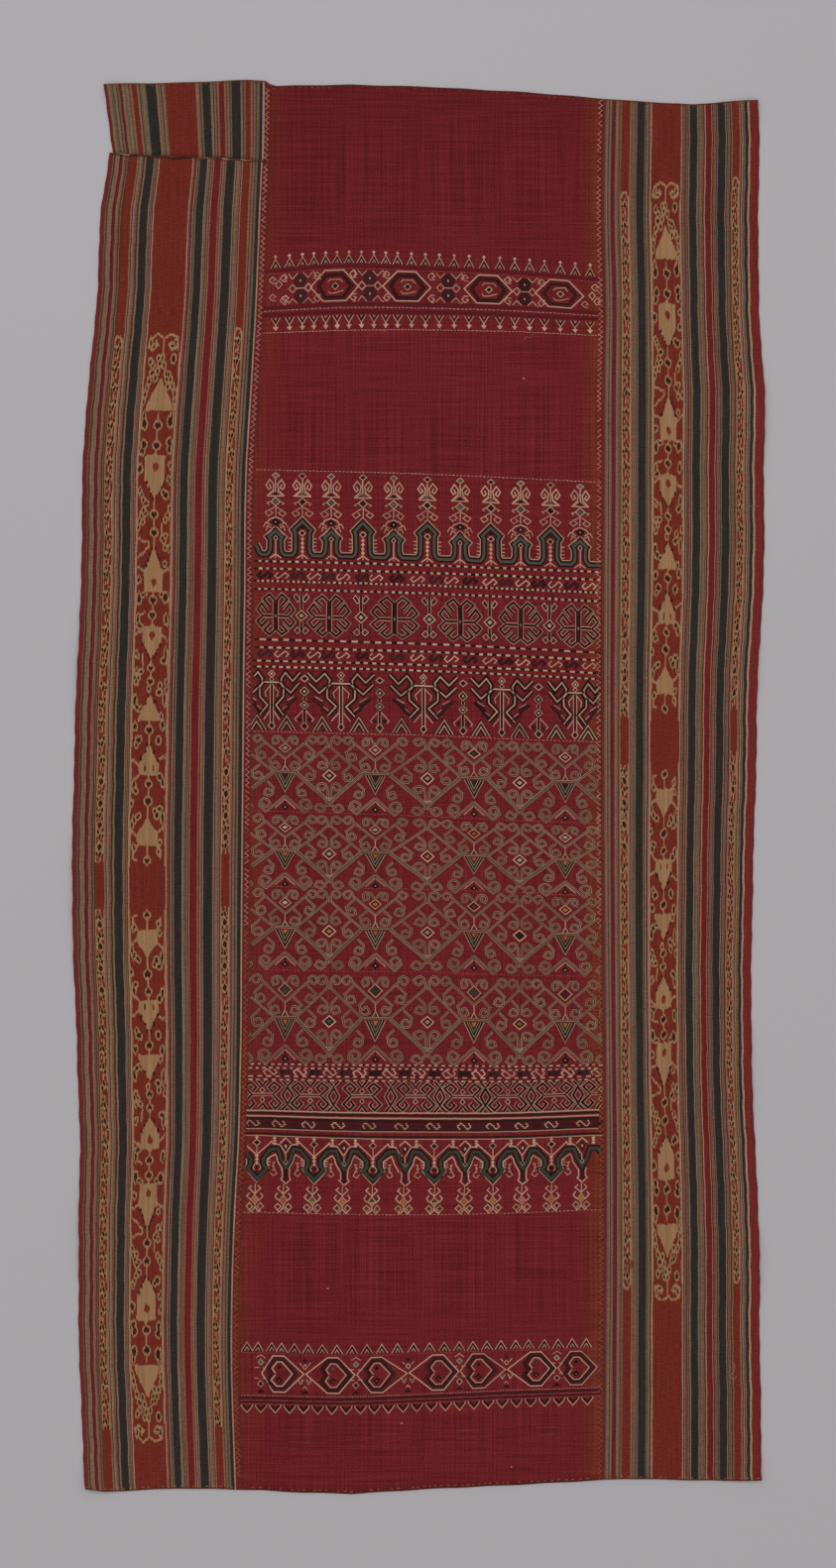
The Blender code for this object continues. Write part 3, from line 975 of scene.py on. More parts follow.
def scrollField():
    work = startWork()
    rowsOfScrolls = ((778, 0.85), (857, 0.82), (935, 0.89), (1026, 1.0))
    for row, (level, tall) in enumerate(rowsOfScrolls):
        wide = 0.98 if row < 3 else 1.02
        tall = tall * 1.14
        scale = dict(tall=tall, wide=wide, mirror=True)
        halves = ((36, 38), (33.4, 32.4), (37.4, 33), (32, 34.6), (36, 36))
        for n, x in enumerate((238, 332, 431, 524, 617)):
            at = (x, level)
            for reach in (-halves[n][0], halves[n][1]):   # the weaver fitted each half to its comb
                side = dict(tall=tall, wide=reach / 31.6)
                for path in rhombusScrolls:
                    stroke(work, "scroll", at, path, **side)
                stroke(work, "scroll", at, ((0.8, 28), (16, 14), (31.6, 0.4)), **side)
                stroke(work, "wideScroll", at, ((31.6, -0.4), (17, -14.5), (6, -24.5), (1.2, -30.5)),
                       **side)
            stroke(work, "thinCream", at, ((-4.4, -26), (4.4, -26)), tall=tall)
            patch(work, "pink", at, ((-2.6, -27), (2.6, -27), (0, -29)), tall=tall)
            diamond(work, (x, level + 2.8 * tall), (7.4, 7), (("cream", 1.3), ("black", 2.1)),
                    rhombusCores[row][n], tall=0.95)
        for n, x in enumerate((287.5, 378.5, 478, 570)):
            at = (x, level)
            reach = (11.2 if n in (0, 3) else 14.6) * wide
            stroke(work, "scroll", at, ((-reach, 0.4), (reach, 0.4)))
            for path in combScrolls:
                stroke(work, "scroll", at, path, **scale)
            stroke(work, "thinCream", at, ((0, 13.5), (0, 6.4)), tall=tall)
            patch(work, "olive", at, ((0, 6), (-2.5, 1.6), (2.5, 1.6)), tall=tall)
            stroke(work, "thinCream", at, ((-2.9, 1.6), (0, 6.6), (2.9, 1.6)), tall=tall)
            core = (7.6, 6.6) if row == 3 else (6.6, 5.6)
            rings = (("cream", 1.0), ("black", 1.3 if row == 3 else 1.7))
            diamond(work, (x, level - 24.8 * tall), core, rings, combCores[row][n], tall=tall)
            patch(work, "moss", at, ((-9.4, -1.8), (9.4, -1.8), (0, -20)), tall=tall, high=0.05)
            vees(work, at, combLines, tall)
            patch(work, "purple" if row == 0 else "orange", at,
                  ((-2.6, -2), (2.6, -2), (0.6, -6), (-0.6, -6)), tall=tall, high=0.3)
            stroke(work, "pink", at, ((0.4, -28.6), (10.4, -37.6)), **scale)
            patch(work, "black", at, shifted(lozenge((4.2, 3.6)), 0, -36.6), tall=tall, high=0.2)
            patch(work, "cream", at, shifted(lozenge((1.3, 1.3)), 0, -36.6), tall=tall, high=0.34)
            stroke(work, ((0, 1.8, "purple"),), at, ((0, -29.6), (0, -33.6)), tall=tall)
    for level in (818, 894, 978):
        weftRow(work, level, (("madder", 2.2, 0.8, 1.6),))
    finishWork(work, "scrollYarns")


# Rows below the scrolls: dashes, blocks and hooks, a lattice of square spirals and plain lines
def lowerRows():
    work = startWork()
    hook = ((-4.1, -2.8), (-6.7, .5), (-3.3, 3.1), (0, .5), (3.2, -3), (6.5, -.1), (4.4, 2.9))
    for level, pitch in ((1073.4, 7), (1077.2, 7), (1085.4, 9), (1089, 7.5)):
        weftRow(work, level, (("cream", pitch * 0.46, 1.6, 0.3), ("purple", pitch * 0.44, 1.6, 0.3)))
    for n in range(12):
        x = 272.6 + n * 30
        at = (x, 1081.4)
        stroke(work, "pink" if n == 8 else "cream", at, hook)
        patch(work, "purple", at, ((9.5, 3), (22, 3), (22, -3), (9.5, -3)))
        patch(work, "black", at, ((10.5, 1.6), (14, 1.6), (14, -2), (10.5, -2)), high=0.2)
    stems = (264.7, 312.8, 365, 419, 466.5, 512, 559, 606)
    rounds = (290, 336.4, 394, 443.5, 489.5, 535.5, 583)
    for x in stems:
        at = (x, 1104.2)
        stroke(work, ((1.2, 0.9, "paleCream"), (0, 1.1, "olive"), (-1.2, 0.9, "paleCream")), at,
               ((-10.4, 0), (10.4, 0)))
        paired(work, "fineTriple", at, ((10.6, 0), (18.2, 7.6), (11.8, 12.5), (6.3, 7.3), (9.8, 3.8)))
        paired(work, "fineTriple", at, ((10.6, 0), (18.7, -8.2), (12.8, -13.6), (8.2, -8.7), (10.8, -6)))
        for dy in (4.7, -5.2):
            diamond(work, (x, 1104.2 - dy), (2.9, 3.1), 0.9, "black")
        paired(work, "fineTriple", at, ((0.4, 9.4), (4.9, 14.8)))
        paired(work, "fineTriple", at, ((0.4, -9.6), (4.4, -14.4)))
    for x in rounds:
        at = (x, 1104.6)
        stroke(work, "fineTriple", at, lozenge((5, 8.6)), closed=True)
        paired(work, "fineTriple", at, ((5.4, 15), (0.5, 10)))
        paired(work, "fineTriple", at, ((0.6, -9.6), (5.6, -14.8)))
    weftLine(work, 1120.3, "paleCream", 1.4)
    weftBand(work, 1121.6, 2, "black")
    weftLine(work, 1125.6, "paleCream", 1.6)
    weftBand(work, 1127, 2, "black")
    weftBand(work, 1129, 8, "crimson")
    weftBand(work, 1136.3, 1.8, "black")
    for x in (255, 281, 311, 341, 372, 405, 437, 468, 497, 526, 556, 588):
        stroke(work, ((0, 2.1, "cream"),), (x, 1133.2), hook)
        patch(work, "purple", (x + 15, 1133.2), ((-5.4, 2.6), (5.4, 2.6), (5.4, -2.6), (-5.4, -2.6)),
              high=0.24)
    weftLine(work, 1138.4, "paleCream", 1.3)
    weftBand(work, 1142.5, 1.8, "black")
    weftLine(work, 1145.4, "greyCream", 0.9)
    finishWork(work, "lowerRowYarns")


# Green meander with its points down, and the row of small hooked pendants that hang from it
def lowerMeander():
    work = startWork()
    longs = (259, 316.8, 376, 438, 497, 556)
    shorts = (288.2, 347, 408.5, 469, 527, 587)
    path = [(245, -1158.5)]
    for low, high in zip(longs, shorts):
        gap = (high - low) / 29.2
        path += [(low - 13.5 * gap, -1158.8), (low - 6.2, -1168.4), (low - 6.2, -1175.1),
                 (low - 9.8, -1178.5), (low, -1188.6), (low + 9.8, -1178.5), (low + 6.2, -1175.1),
                 (low + 6.2, -1168.4), (low + 13.5 * gap, -1158.8), (high - 8, -1158.3),
                 (high - 4.5, -1168.5), (high, -1177.4), (high + 4.5, -1168.5), (high + 8, -1158.3)]
    path += [(602, -1158.3), (606, -1163)]
    stroke(work, ((2.3, 2.0, "black"), (0.65, 1.4, "green"), (-0.65, 1.4, "green"), (-2.3, 2.0, "black")),
           (0, 0), path)
    for x in longs:
        at = (x, 1193)
        paired(work, "cream", at, ((0, 0), (12.6, 14.2), (10.4, 18.4), (10.4, 24), (18.5, 29.4), (20.5, 26),
                                   (21.5, 21.5), (26, 14)))
        paired(work, "cream", at, ((1.1, 28.8), (14, 40.9), (15.2, 42.3), (16.8, 39.5), (22.5, 39.2),
                                   (24.7, 37), (29.2, 30)))
        diamond(work, (x, 1152.6), (4.3, 3.9), 1, "black")
        stroke(work, "thinCream", (x, 1156.5), ((0, 0), (0, -8)))
        for n in range(3):
            bead(work, "cream", (x, 1166 + n * 3.6), (2, 2), 0.22)
        bead(work, "black", (x, 1177.4), (2.3, 2.7), 0.2)
        paired(work, "thinCream", (x, 1177.4), ((2.2, 3), (4, 0.2), (2.6, -2.8)))
        patch(work, "purple", (x, 1183), ((-1.6, 2), (1.6, 2), (0, -2.4)))
        for y in (1169.5, 1172, 1174.6):
            paired(work, "thinCream", (x, y), ((11, 0), (13.6, 0)))
        paired(work, "thinCream", at, ((18.4, 21.6), (16, 17), (20, 9.6), (16.4, 7.4), (13.6, 10.4)))
        for y in (1172.4, 1175.8, 1179.6):
            paired(work, "thinCream", (x, y), ((17.6, 0), (15.4, 0)))
    for x in shorts:
        at = (x, 1180)
        bead(work, "black", (x, 1155.4), (3.1, 5.2), 0.2)
        bead(work, "cream", (x, 1155.4), (1.6, 2.7), 0.34)
        paired(work, "cream", (x, 1147), ((0, 0), (5.6, -5.6)))
        stroke(work, "thinCream", (x, 1163.4), ((0, 0), (0, -5)))
        diamond(work, (x, 1171.4), (2.6, 2.9), 0.9, "rust")
        patch(work, "purple", at, ((-1.9, 0.6), (1.9, 0.6), (1.9, -8), (2.8, -9), (0, -11.5), (-2.8, -9),
                                   (-1.9, -8)), high=0.24)
        paired(work, "cream", at, ((4.4, 1), (3.3, -1), (3.6, -7.4), (5, -9), (0.4, -13.4)))
    for low, high in zip(longs, shorts):
        for x in ((low + high) / 2 + 3.4, high + 11.4):
            for n in range(3):
                bead(work, "cream", (x, 1147.6 + n * 2.6), (2, 1.7), 0.22)
    for x in longs:
        bead(work, "cream", (x, 1147.4), (1.9, 2), 0.22)
    pendants = ((257, "orange", None), (285.5, "orange", None), (315, "green", "yellow"),
                (345, "orange", None), (375, "green", "yellow"), (407, "orange", None),
                (438, "green", "yellow"), (468, "orange", None), (497, "yellow", None), (526, "pink", None),
                (556, "orange", None), (586, "yellow", None))
    for x, dye, second in pendants:
        at = (x, 1210)
        stroke(work, "thinCream", at, ((0.4, 15.7), (0, 6)))
        paired(work, "cream", at, ((0, 5.8), (5.9, 11.4), (3.2, 14)))
        paired(work, "cream", at, ((3.5, -1), (6.5, 1.3), (7.9, 3.5), (5.6, 6.7)))
        diamond(work, at, (4.6, 5.6), 1)
        bead(work, dye, at, (2.7, 3.5), 0.24)
        if second:
            patch(work, second, at, ((-2.7, 0), (2.7, 0), (0, -3.6)), high=0.3)
        stroke(work, "cream", at, ((0, -5.4), (0, -8)))
        for side in (-1, 1):
            diamond(work, (x + 5.4 * side, 1216.9), (4.1, 4.1), 1.1, "rust")
        paired(work, "cream", at, ((0, -7.8), (4, -12.2), (5.6, -10.8)))
    weftRow(work, 1223, (("pinkCream", 2.2, 0.8, 1.8),))
    finishWork(work, "lowerMeanderYarns")


# Bottom band: six-sided medallions and crossed lines between two rows of triangles
def bottomBand():
    work = startWork()
    for x in (249, 260, 274, 284, 297, 311, 325, 340, 355, 370, 385, 401, 417, 433, 448, 463, 477, 491, 505,
              520,
              533, 549, 563, 577, 591):
        vees(work, (x, 1354), (("cream", 0.9, 5.6, -9, 0), ("black", 1.9, 4, -8.6, -2.3),
                               ("cream", 0.7, 2.2, -8.6, -5)))
    weftRow(work, 1364.6, (("madder", 1.4, 0.8, 1.4),))
    medallions = (281.5, 336, 380, 442, 482.5, 540.5, 581)
    crossings = (263, 307.6, 359, 411.6, 463.4, 510.6, 561.6, 603)
    for n, x in enumerate(medallions):
        at = (x, 1385)
        left = (crossings[n] - x + 1, 0)
        right = (crossings[n + 1] - x - 1, 0)
        stroke(work, "cream", at, (left, (-6, 18), (5, 18), right, (6, -19), (-6, -19)), closed=True)
        stroke(work, ((1.1, 2.2, "purple"), (-1.1, 2.2, "black")), at,
               ((-11.6, 6), (-4.6, 14.6), (5.6, 14.6), (17.4, -0.6), (5, -15.8), (-5, -15.8), (-12, -7.6),
                (-7.8, -0.4)), closed=True)
        stroke(work, "cream", at, ((-3.6, 0.4), (-7, 5), (-2.2, 11.8), (2.7, 11.8), (13.4, 0), (3.2, -13),
                                   (-2.6, -13), (-8, -6.6), (-4.3, -1.8)))
        diamond(work, (x, 1378.5), (3, 3), (("wine", 0.7),), "green" if n % 2 else "black")
        bead(work, "black", (x, 1391.6), (3.6, 3.8), 0.2)
        patch(work, "orange" if n % 3 == 1 else "pink", (x, 1392), lozenge((1.1, 1.1)), high=0.34)
    for n, x in enumerate(crossings[:-1]):
        at = (x, 1385)
        if n % 2 == 0:
            diamond(work, (x, 1374), (3.6, 3.6), 0.9, "grey")
            stroke(work, "thinCream", at, ((-4.6, 15.4), (0, 18.6), (4.6, 15.4)))
            diamond(work, (x, 1396), (3.6, 3.9), 0.9, "purple")
            paired(work, "thinCream", at, ((2, 5.4), (6, 5.4)))
            paired(work, "thinCream", at, ((2, -5.4), (6, -5.4)))
        else:
            bead(work, "purple", (x, 1371), (2.4, 3))
            diamond(work, (x, 1377.5), (3, 3.2), 0.9)
            paired(work, "thinCream", at, ((3.4, 9), (5.6, 12)))
            for dx in (-4, 4):
                stroke(work, "thinCream", (x + dx, 1393), ((-2.6, 2.6), (0, -2.4), (2.6, 2.6)))
                patch(work, "grey", (x + dx, 1392), ((-1.4, 1.4), (1.4, 1.4), (0, -1.4)))
            stroke(work, "thinCream", at, ((-2, -14.6), (0, -12.6), (2, -15.4)))
        patch(work, "black", (x, 1403.6), ((-4, -1.4), (4, -1.4), (0, 2.4)))
    weftRow(work, 1407.8, (("pinkCream", 1.4, 0.8, 1.4),))
    weftBand(work, 1408.8, 3, "crimson")
    weftRow(work, 1412.6, (("madder", 3.4, 0.9, 0.6),))
    weftBand(work, 1413.4, 2, "crimson")
    weftRow(work, 1416.2, (("madder", 1.4, 0.9, 1.0),))
    for level in (1446, 1453.5):   # painted highlight and shade of two faint creases across the cloth, laid as rows of wine and madder floats that show as faint lines
        weftRow(work, level, (("wine", 34, 0.6, 11), ("madder", 22, 0.45, 17)))
    for n in range(25):
        at = (249 + n * 14.3, 1417)
        stroke(work, "thinCream", at, ((-5.8, 0), (-5, -2.4), (0, -8.2), (5, -2.4), (5.8, 0)))
        stroke(work, ((0, 2.3, "black"),), at, ((-3.7, -0.6), (0, -4.9), (3.7, -0.6)))
    finishWork(work, "bottomBandYarns")


topBand()
borderBand()
rosetteBand()
figureBand()
scrollField()
lowerRows()
lowerMeander()
bottomBand()

# Warp ikat of the side panels: the tied and dyed threads, drawn thread by thread. The chart counts
# squares across from the stripe's middle and down the left panel; its lower half mirrors its upper
ikatColours = {
    "cream": ("#9b7453", "#a47c5a", "#906b4c"),
    "dark": ("#3a1c19", "#321715", "#44221d"),
    "red": ("#7a2d20", "#722a1f", "#823224"),
}
ikatBodies = (
    ((0, 380), (2.8, 387), (5.2, 392.5), (9.5, 400), (12.3, 407), (11.8, 414), (-12.8, 414), (-12.2, 407),
     (-9, 400), (-5, 392.5), (-2.6, 387)),
    ((0, 454), (2, 459), (10.3, 460), (10, 484), (8, 489), (5, 495), (1, 501), (-1, 501), (-5, 495),
     (-8, 489), (-10, 484), (-10.3, 460), (-2, 459)),
    ((0, 550), (2, 558), (4.5, 565), (7, 571), (10, 575.5), (9, 585), (8.8, 597), (-8.8, 597), (-9.5, 585),
     (-10, 575.5), (-7, 571), (-4.5, 565), (-2, 558)),
    ((0, 629), (3, 632), (9.3, 633), (9.3, 648), (5, 655), (0, 664), (-5, 656), (-9.3, 648), (-9.8, 633),
     (-3, 632)),
    ((0, 700), (3, 707), (6, 713), (8.5, 719), (10.5, 724), (10, 727), (-11.5, 727), (-10.5, 722), (-7, 717),
     (-4.5, 711), (-2.4, 705)),
    ((0, 751), (3, 756), (4.5, 761), (8, 767), (10, 771), (9.5, 782), (-9.5, 782), (-10, 771), (-8, 767),
     (-4.5, 761), (-3, 756)),
    ((0, 824), (2.4, 829), (5, 834), (10, 840), (10, 847), (7.4, 853), (-8, 853), (-10.4, 847), (-10, 840),
     (-5, 834), (-2.4, 829)),
)
ikatLines = (   # half width, then the line
    (0.9, (0, 341.6), (-6.7, 336.9), (-13.8, 341.6), (-15.4, 350.5), (-11, 352.8), (-5.4, 348.5),
     (-8, 345)),
    (0.9, (0, 341.6), (6.7, 336.9), (13.8, 340.6), (15, 350.5), (9, 352.8), (5.4, 347.5), (8, 345)),
    (0.7, (0, 341), (0, 358)), (0.6, (0, 414), (0, 424)), (0.6, (0, 434), (0, 446)),
    (0.6, (0, 503), (0, 513)), (0.6, (0, 524), (0, 532)), (0.6, (0, 542), (0, 552)),
    (0.6, (0, 597), (0, 600)), (0.6, (0, 610), (0, 616)), (0.6, (0, 625), (0, 632)),
    (0.6, (0, 665), (0, 670)), (0.6, (0, 677), (0, 683)), (0.6, (0, 727), (0, 731)),
    (0.6, (0, 741), (0, 750)), (0.6, (0, 782), (0, 787)), (0.6, (0, 794), (0, 803)),
    (0.7, (0, 813), (0, 825)), (0.7, (0, 853), (0, 865)),
    (0.8, (-15.4, 543), (-8.4, 546.8), (-5.4, 547), (-5, 552), (-15.4, 561.7)),
    (0.8, (7.8, 528.7), (7.8, 541)), (0.9, (-9.5, 575), (-16, 571.6)), (0.9, (9.5, 578), (16, 572.5)),
    (0.9, (-9, 635), (-16, 639)), (0.9, (9, 640), (15, 645)), (0.9, (-10, 771), (-17, 765.5)),
    (0.9, (-10, 782), (-16.5, 789)), (0.9, (10, 766), (16.5, 762)), (0.9, (9, 780), (16, 786)),
    (0.9, (-10, 843), (-17, 838)), (0.9, (10, 839.5), (16, 834)),
    (0.9, (-8, 851), (-13.5, 857), (-14, 866), (-10.5, 867)), (0.9, (7.6, 851), (12.8, 858), (12.6, 865)),
    (0.8, (-9, 660), (-7.4, 672)), (0.8, (-13.8, 620), (-7.4, 618)),
)
ikatDots = (    # dark dots in a pale rim: across, down, half width, half height
    (-13, 346, .9, 3), (-9.4, 349.4, 2, 1), (12.4, 346, 1, 3), (9.2, 349, 2, 1.1), (-11.7, 364.4, 1.2, 2.4),
    (-8.7, 368.8, 1.6, 1.3), (-9.1, 376, 2.2, 2), (-3.9, 361.3, 1, 2), (0, 360.4, 1, 2.2),
    (-2.1, 367, 1.2, 2.2), (2.4, 368.4, 1.2, 2.4), (-3.8, 374.6, 1, 2.2), (-6, 381.8, 1.2, 2.6),
    (-11.7, 384, 1.2, 2.6), (-13.4, 391.6, 1, 2), (-15, 398, 1.1, 2.6), (-15.8, 404.5, .8, 2.4),
    (11.3, 362, 1.8, 3.6), (4.8, 377.3, 1, 2.2), (7.6, 378, 1.1, 2.2), (6, 382.7, 1, 2),
    (9.6, 382.7, 1.1, 2.2), (7.5, 389.8, 1.2, 2), (12, 389.4, 1, 2.4), (15, 396, 1.2, 2.8),
    (15.4, 403, .9, 2.2), (14.3, 410, 1, 1.6), (0.4, 429, 3.2, 3.4), (-13.4, 427.5, 2.3, 4.6),
    (-14, 420, .9, 3.4), (12.6, 425.5, 2.4, 5), (14.2, 418, .8, 3.6), (0.3, 449.4, 3.2, 3.2),
    (-12.5, 448, 2.3, 3.6), (-13.6, 455, 2, 3), (13, 446, 2.3, 3.2), (13.6, 453, 1.6, 3.6),
    (-15, 473, 2, 3.6), (-14.6, 494.8, 1, 1.8), (-12.9, 498.8, 1, 1.6), (-11, 503.7, 1, 1.9),
    (-8.2, 508.2, 2.2, 1.7), (-10.7, 514.4, 1.2, 2), (-8.5, 518.4, 1.7, 1.4), (-12.5, 519.8, 1, 2.3),
    (-14.6, 525.6, 1.1, 2.3), (-11, 525.6, 1, 1.8), (-15.6, 531.4, .9, 2), (15.4, 469, 1.2, 2),
    (15, 483.6, 1.7, 2.2), (11.5, 499.7, 2.3, 2.8), (8.7, 496.6, 1.2, 1.7), (15.8, 512.6, .9, 2.8),
    (13.9, 519.8, 1.3, 2), (11.3, 524.7, 1, 2), (0, 518.9, 3, 3.2), (0, 537.2, 3, 3.1), (8.3, 543, 1.3, 1.9),
    (11.5, 541, 1.1, 1.6), (10, 545.9, 1, 1.8), (11.4, 552.8, 1.1, 1.9), (15.9, 552.4, 1, 2.8),
    (-14.8, 585, 1.6, 2.4), (11.3, 569, 1.1, 1.7), (-14, 604, 1.8, 4.8), (-9.4, 599.6, 2.8, 1.1),
    (0, 605.5, 3, 3.2), (12.3, 603, 2.3, 4.4), (8.4, 599.7, 1.3, 1.6), (0, 620.7, 2.9, 2.9),
    (-14.4, 624.5, 1.1, 3.8), (-12.8, 631, 2.4, 2), (13.6, 625, 1.3, 4.6), (-15.5, 658.7, .9, 1.7),
    (-13.6, 661.4, .9, 1.6), (14.2, 659.5, 1, 5.6), (12.6, 666.6, 2.3, 2), (0, 673.9, 2.6, 2.1),
    (0, 687.3, 2.7, 2.4), (-1.6, 695, 1, 2), (-14, 677, 1.1, 1.5), (-9.6, 677, 1.7, 1.3),
    (-15.6, 683, .9, 1.8), (-12, 683, 1, 1.6), (-14, 688, 1.1, 2.2), (9.6, 691.7, 1.1, 2.4),
    (8.7, 698.4, 2, 2.2), (14.3, 704, 1, 7), (15.8, 688, .9, 2.8), (-15, 706.5, 1.4, 4.6),
    (-12.4, 713, 1.8, 2.2), (-8.7, 715.4, 2, 1.2), (11.5, 723, .9, 2.4), (0, 736.4, 3, 3.1),
    (-14, 733, 1.8, 2.8), (13, 731.5, 1.4, 3.8), (-10.5, 746, 2.4, 2.6), (-12.6, 751, 1.1, 2),
    (9, 747, 1.8, 3.2), (0, 790.9, 2.5, 2.6), (0, 808.3, 3.1, 3.5), (-14.3, 792, 1.4, 3),
    (-12.6, 797.5, 2, 1.6), (-16, 810, 1.1, 2.3), (11, 784, 1.8, 2.8), (13.8, 789.5, 1.2, 3.8),
    (-9, 823.5, 2, 1.8), (-13, 827, 1.3, 2.4), (-15.2, 832.4, .9, 3.8), (6.7, 818, 1.2, 1.8),
    (9, 822.6, 1.6, 2.8), (11.4, 816.3, 2, 1.8), (14.4, 824.4, 1.1, 6.4), (-12.8, 855, 1.3, 2.2),
    (12, 850, 1, 1.8), (10.8, 859.5, .9, 2), (0, 868, 2.6, 2.4),
)
ikatEyes = (    # dark dots inside the pale bodies and along their slopes
    (-7.9, 487.2, 1.6, 1.6), (-5.2, 493.4, .9, 1.8), (-3.4, 498.4, .9, 1.6), (-1.4, 503.3, 1, 1.9),
    (2.2, 501, .8, 1.5), (5, 498, 1.1, 1.6), (7.4, 491.6, .9, 1.6), (9.2, 488.5, .9, 1.6),
    (-1.8, 553.9, 1.1, 1.2), (1.8, 553.7, 1, 1.4), (-4, 559.3, .9, 1.9), (4, 559.7, .9, 1.8),
    (5.9, 563.4, 1.3, 1.6), (-5.5, 565.6, 1, 1.9), (-8, 571.2, 2, 2), (7.7, 571.2, 1, 2),
    (-8.9, 649.6, 1.6, 1.2), (-5.6, 656.4, 1.1, 1.2), (-3.7, 660, .9, 1.6), (-1, 664.5, 1.2, .9),
    (2.4, 662.8, 1, 1), (4.3, 660.2, 1, 1), (8.3, 650.6, 1.3, 2.2), (-1.6, 702.6, 1, 1),
    (2.3, 701.7, 1, 1.2), (-3.8, 710, .8, 1.6), (4.8, 708, 1.7, 1.5), (8.5, 716.6, .9, 1.2),
    (-1.8, 751, 1.1, 1.5), (1.8, 751, 1, 1.5), (-3.2, 758, 1, 1.6), (5, 758.6, 1.4, 2.4),
    (8.6, 767, 1.2, 1.9), (-7.8, 766, 1.6, 2.6), (-3.6, 775.3, .8, 3.6),
)
ikatRedDots = ((.6, 470.8, 3.1, 4.4), (.2, 587.2, 2.7, 4), (0, 640.8, 2.8, 4.2), (4.6, 775, .9, 3.4),
               (0, 414.5, .7, 2))


def paintOval(grid, across, down, dot, value, grow=(0, 0)):
    middleX, middleY, halfWidth, halfHeight = dot
    sideways = np.abs((across - middleX) / (halfWidth + grow[0])) ** 1.7
    lengthways = np.abs((down - middleY) / (halfHeight + grow[1])) ** 1.7
    grid[sideways + lengthways < 1] = value


def paintShape(grid, across, down, points, value):
    inside = np.zeros(grid.shape, bool)
    for (x0, y0), (x1, y1) in zip(points, points[1:] + points[:1]):
        crossing = (y0 > down) != (y1 > down)
        inside ^= crossing & (across < x0 + (down - y0) * (x1 - x0) / (y1 - y0 or 1e-9))
    grid[inside] = value


def paintLine(grid, across, down, points, half, value):
    for (x0, y0), (x1, y1) in zip(points[:-1], points[1:]):
        along = ((across - x0) * (x1 - x0) + (down - y0) * (y1 - y0)) / ((x1 - x0) ** 2 + (y1 - y0) ** 2)
        along = np.clip(along, 0, 1)
        grid[np.hypot(across - x0 - along * (x1 - x0), down - y0 - along * (y1 - y0)) < half] = value


def wideIkat(across, down, span):   # 1 pale, 2 dark, 3 the dyed ground shown again
    grid = np.zeros(across.shape, int)
    edge = 16.6 + 0.5 * np.sin(down / 7) * np.sin(down / 23)
    rim = (np.abs(across) > edge) & (down > 356)
    for half, *points in ikatLines:
        paintLine(grid, across, down, points, half, 1)
    for dot in ikatDots:
        paintOval(grid, across, down, dot, 1, (1.4, 2))
    for shape in ikatBodies:
        paintShape(grid, across, down, shape, 1)
    grid[rim] = 1
    for dot in ikatRedDots:
        paintOval(grid, across, down, dot, 3)
    for dot in ikatDots + ikatEyes:
        paintOval(grid, across, down, dot, 2)
    return grid


def narrowIkat(across, down, span):
    # Flecked red fields between slanting pale bands, each band with two or three dark dots
    grid = np.zeros(across.shape, int)
    start, end = span
    wave = np.sin(down / 6.1) * 0.35 + np.sin(down / 15.7) * 0.3
    grid[(np.abs(across + wave) > 3.25) & (down > start + 5)] = 1
    paintLine(grid, across, down, ((-3.6, start + 6), (-2.4, start + 1), (1, start + 2), (3.4, start + 7)),
              0.8, 1)
    place = start + 13
    threeDots = ((1.7, -2.6, 1.1, 2.5), (0.1, 2.6, 1.3, 2.8), (-2.6, 2.6, 1.0, 2.2))
    n = 0
    while place < end - 8:
        lean = -1 if n % 4 == 2 else 1
        slip = 0.8 * ((n * 3) % 5 - 2) / 2
        grid[np.abs(down - place + lean * across * 0.75 - slip) < 3.1 + 0.7 * np.sin(across * 2 + n)] = 1
        for dx, dy, halfWidth, halfHeight in threeDots:
            dot = (dx * lean, place + dy + slip, halfWidth, halfHeight)
            paintOval(grid, across, down, dot, 1, (0.5, 0.9))
            paintOval(grid, across, down, dot, 2)
        paintOval(grid, across, down, (0.5 * lean, place + 9.4, 0.8, 3.0), 1)
        paintOval(grid, across, down, (-1.7 * lean, place + 11.5 + slip, 0.6, 1.8), 1)
        place += 18.8 + 1.6 * math.sin(n * 2.3)
        n += 1
    for large in (end - 82, end - 60, end - 38, end - 16):
        paintOval(grid, across, down, (0, large, 3.2, 4.8), 1)
        paintOval(grid, across, down, (0, large, 2.1, 3.3), 2)
    return grid


def stripeThreads(order, stripe):
    parts = order.split()
    n = parts.index(stripe)
    before = sum(int(part[1:]) for part in parts[:n])
    total = sum(int(part[1:]) for part in parts)
    return before, int(stripe[1:]), total


ikat = {
    "fine": 0.5,           # squares of the chart between two rows of the pattern
    "wide": 35.4,          # squares across the wide stripe
    "narrow": 8.4,         # and across a narrow one
    "longest": 8,          # squares between two points of one thread
    "overlap": 0.06,       # of a thread, over its neighbours
    "tip": 0.7,            # millimetres that the dye feathers beyond a tied length
    "high": 0.06,          # millimetres over the cloth's face
}


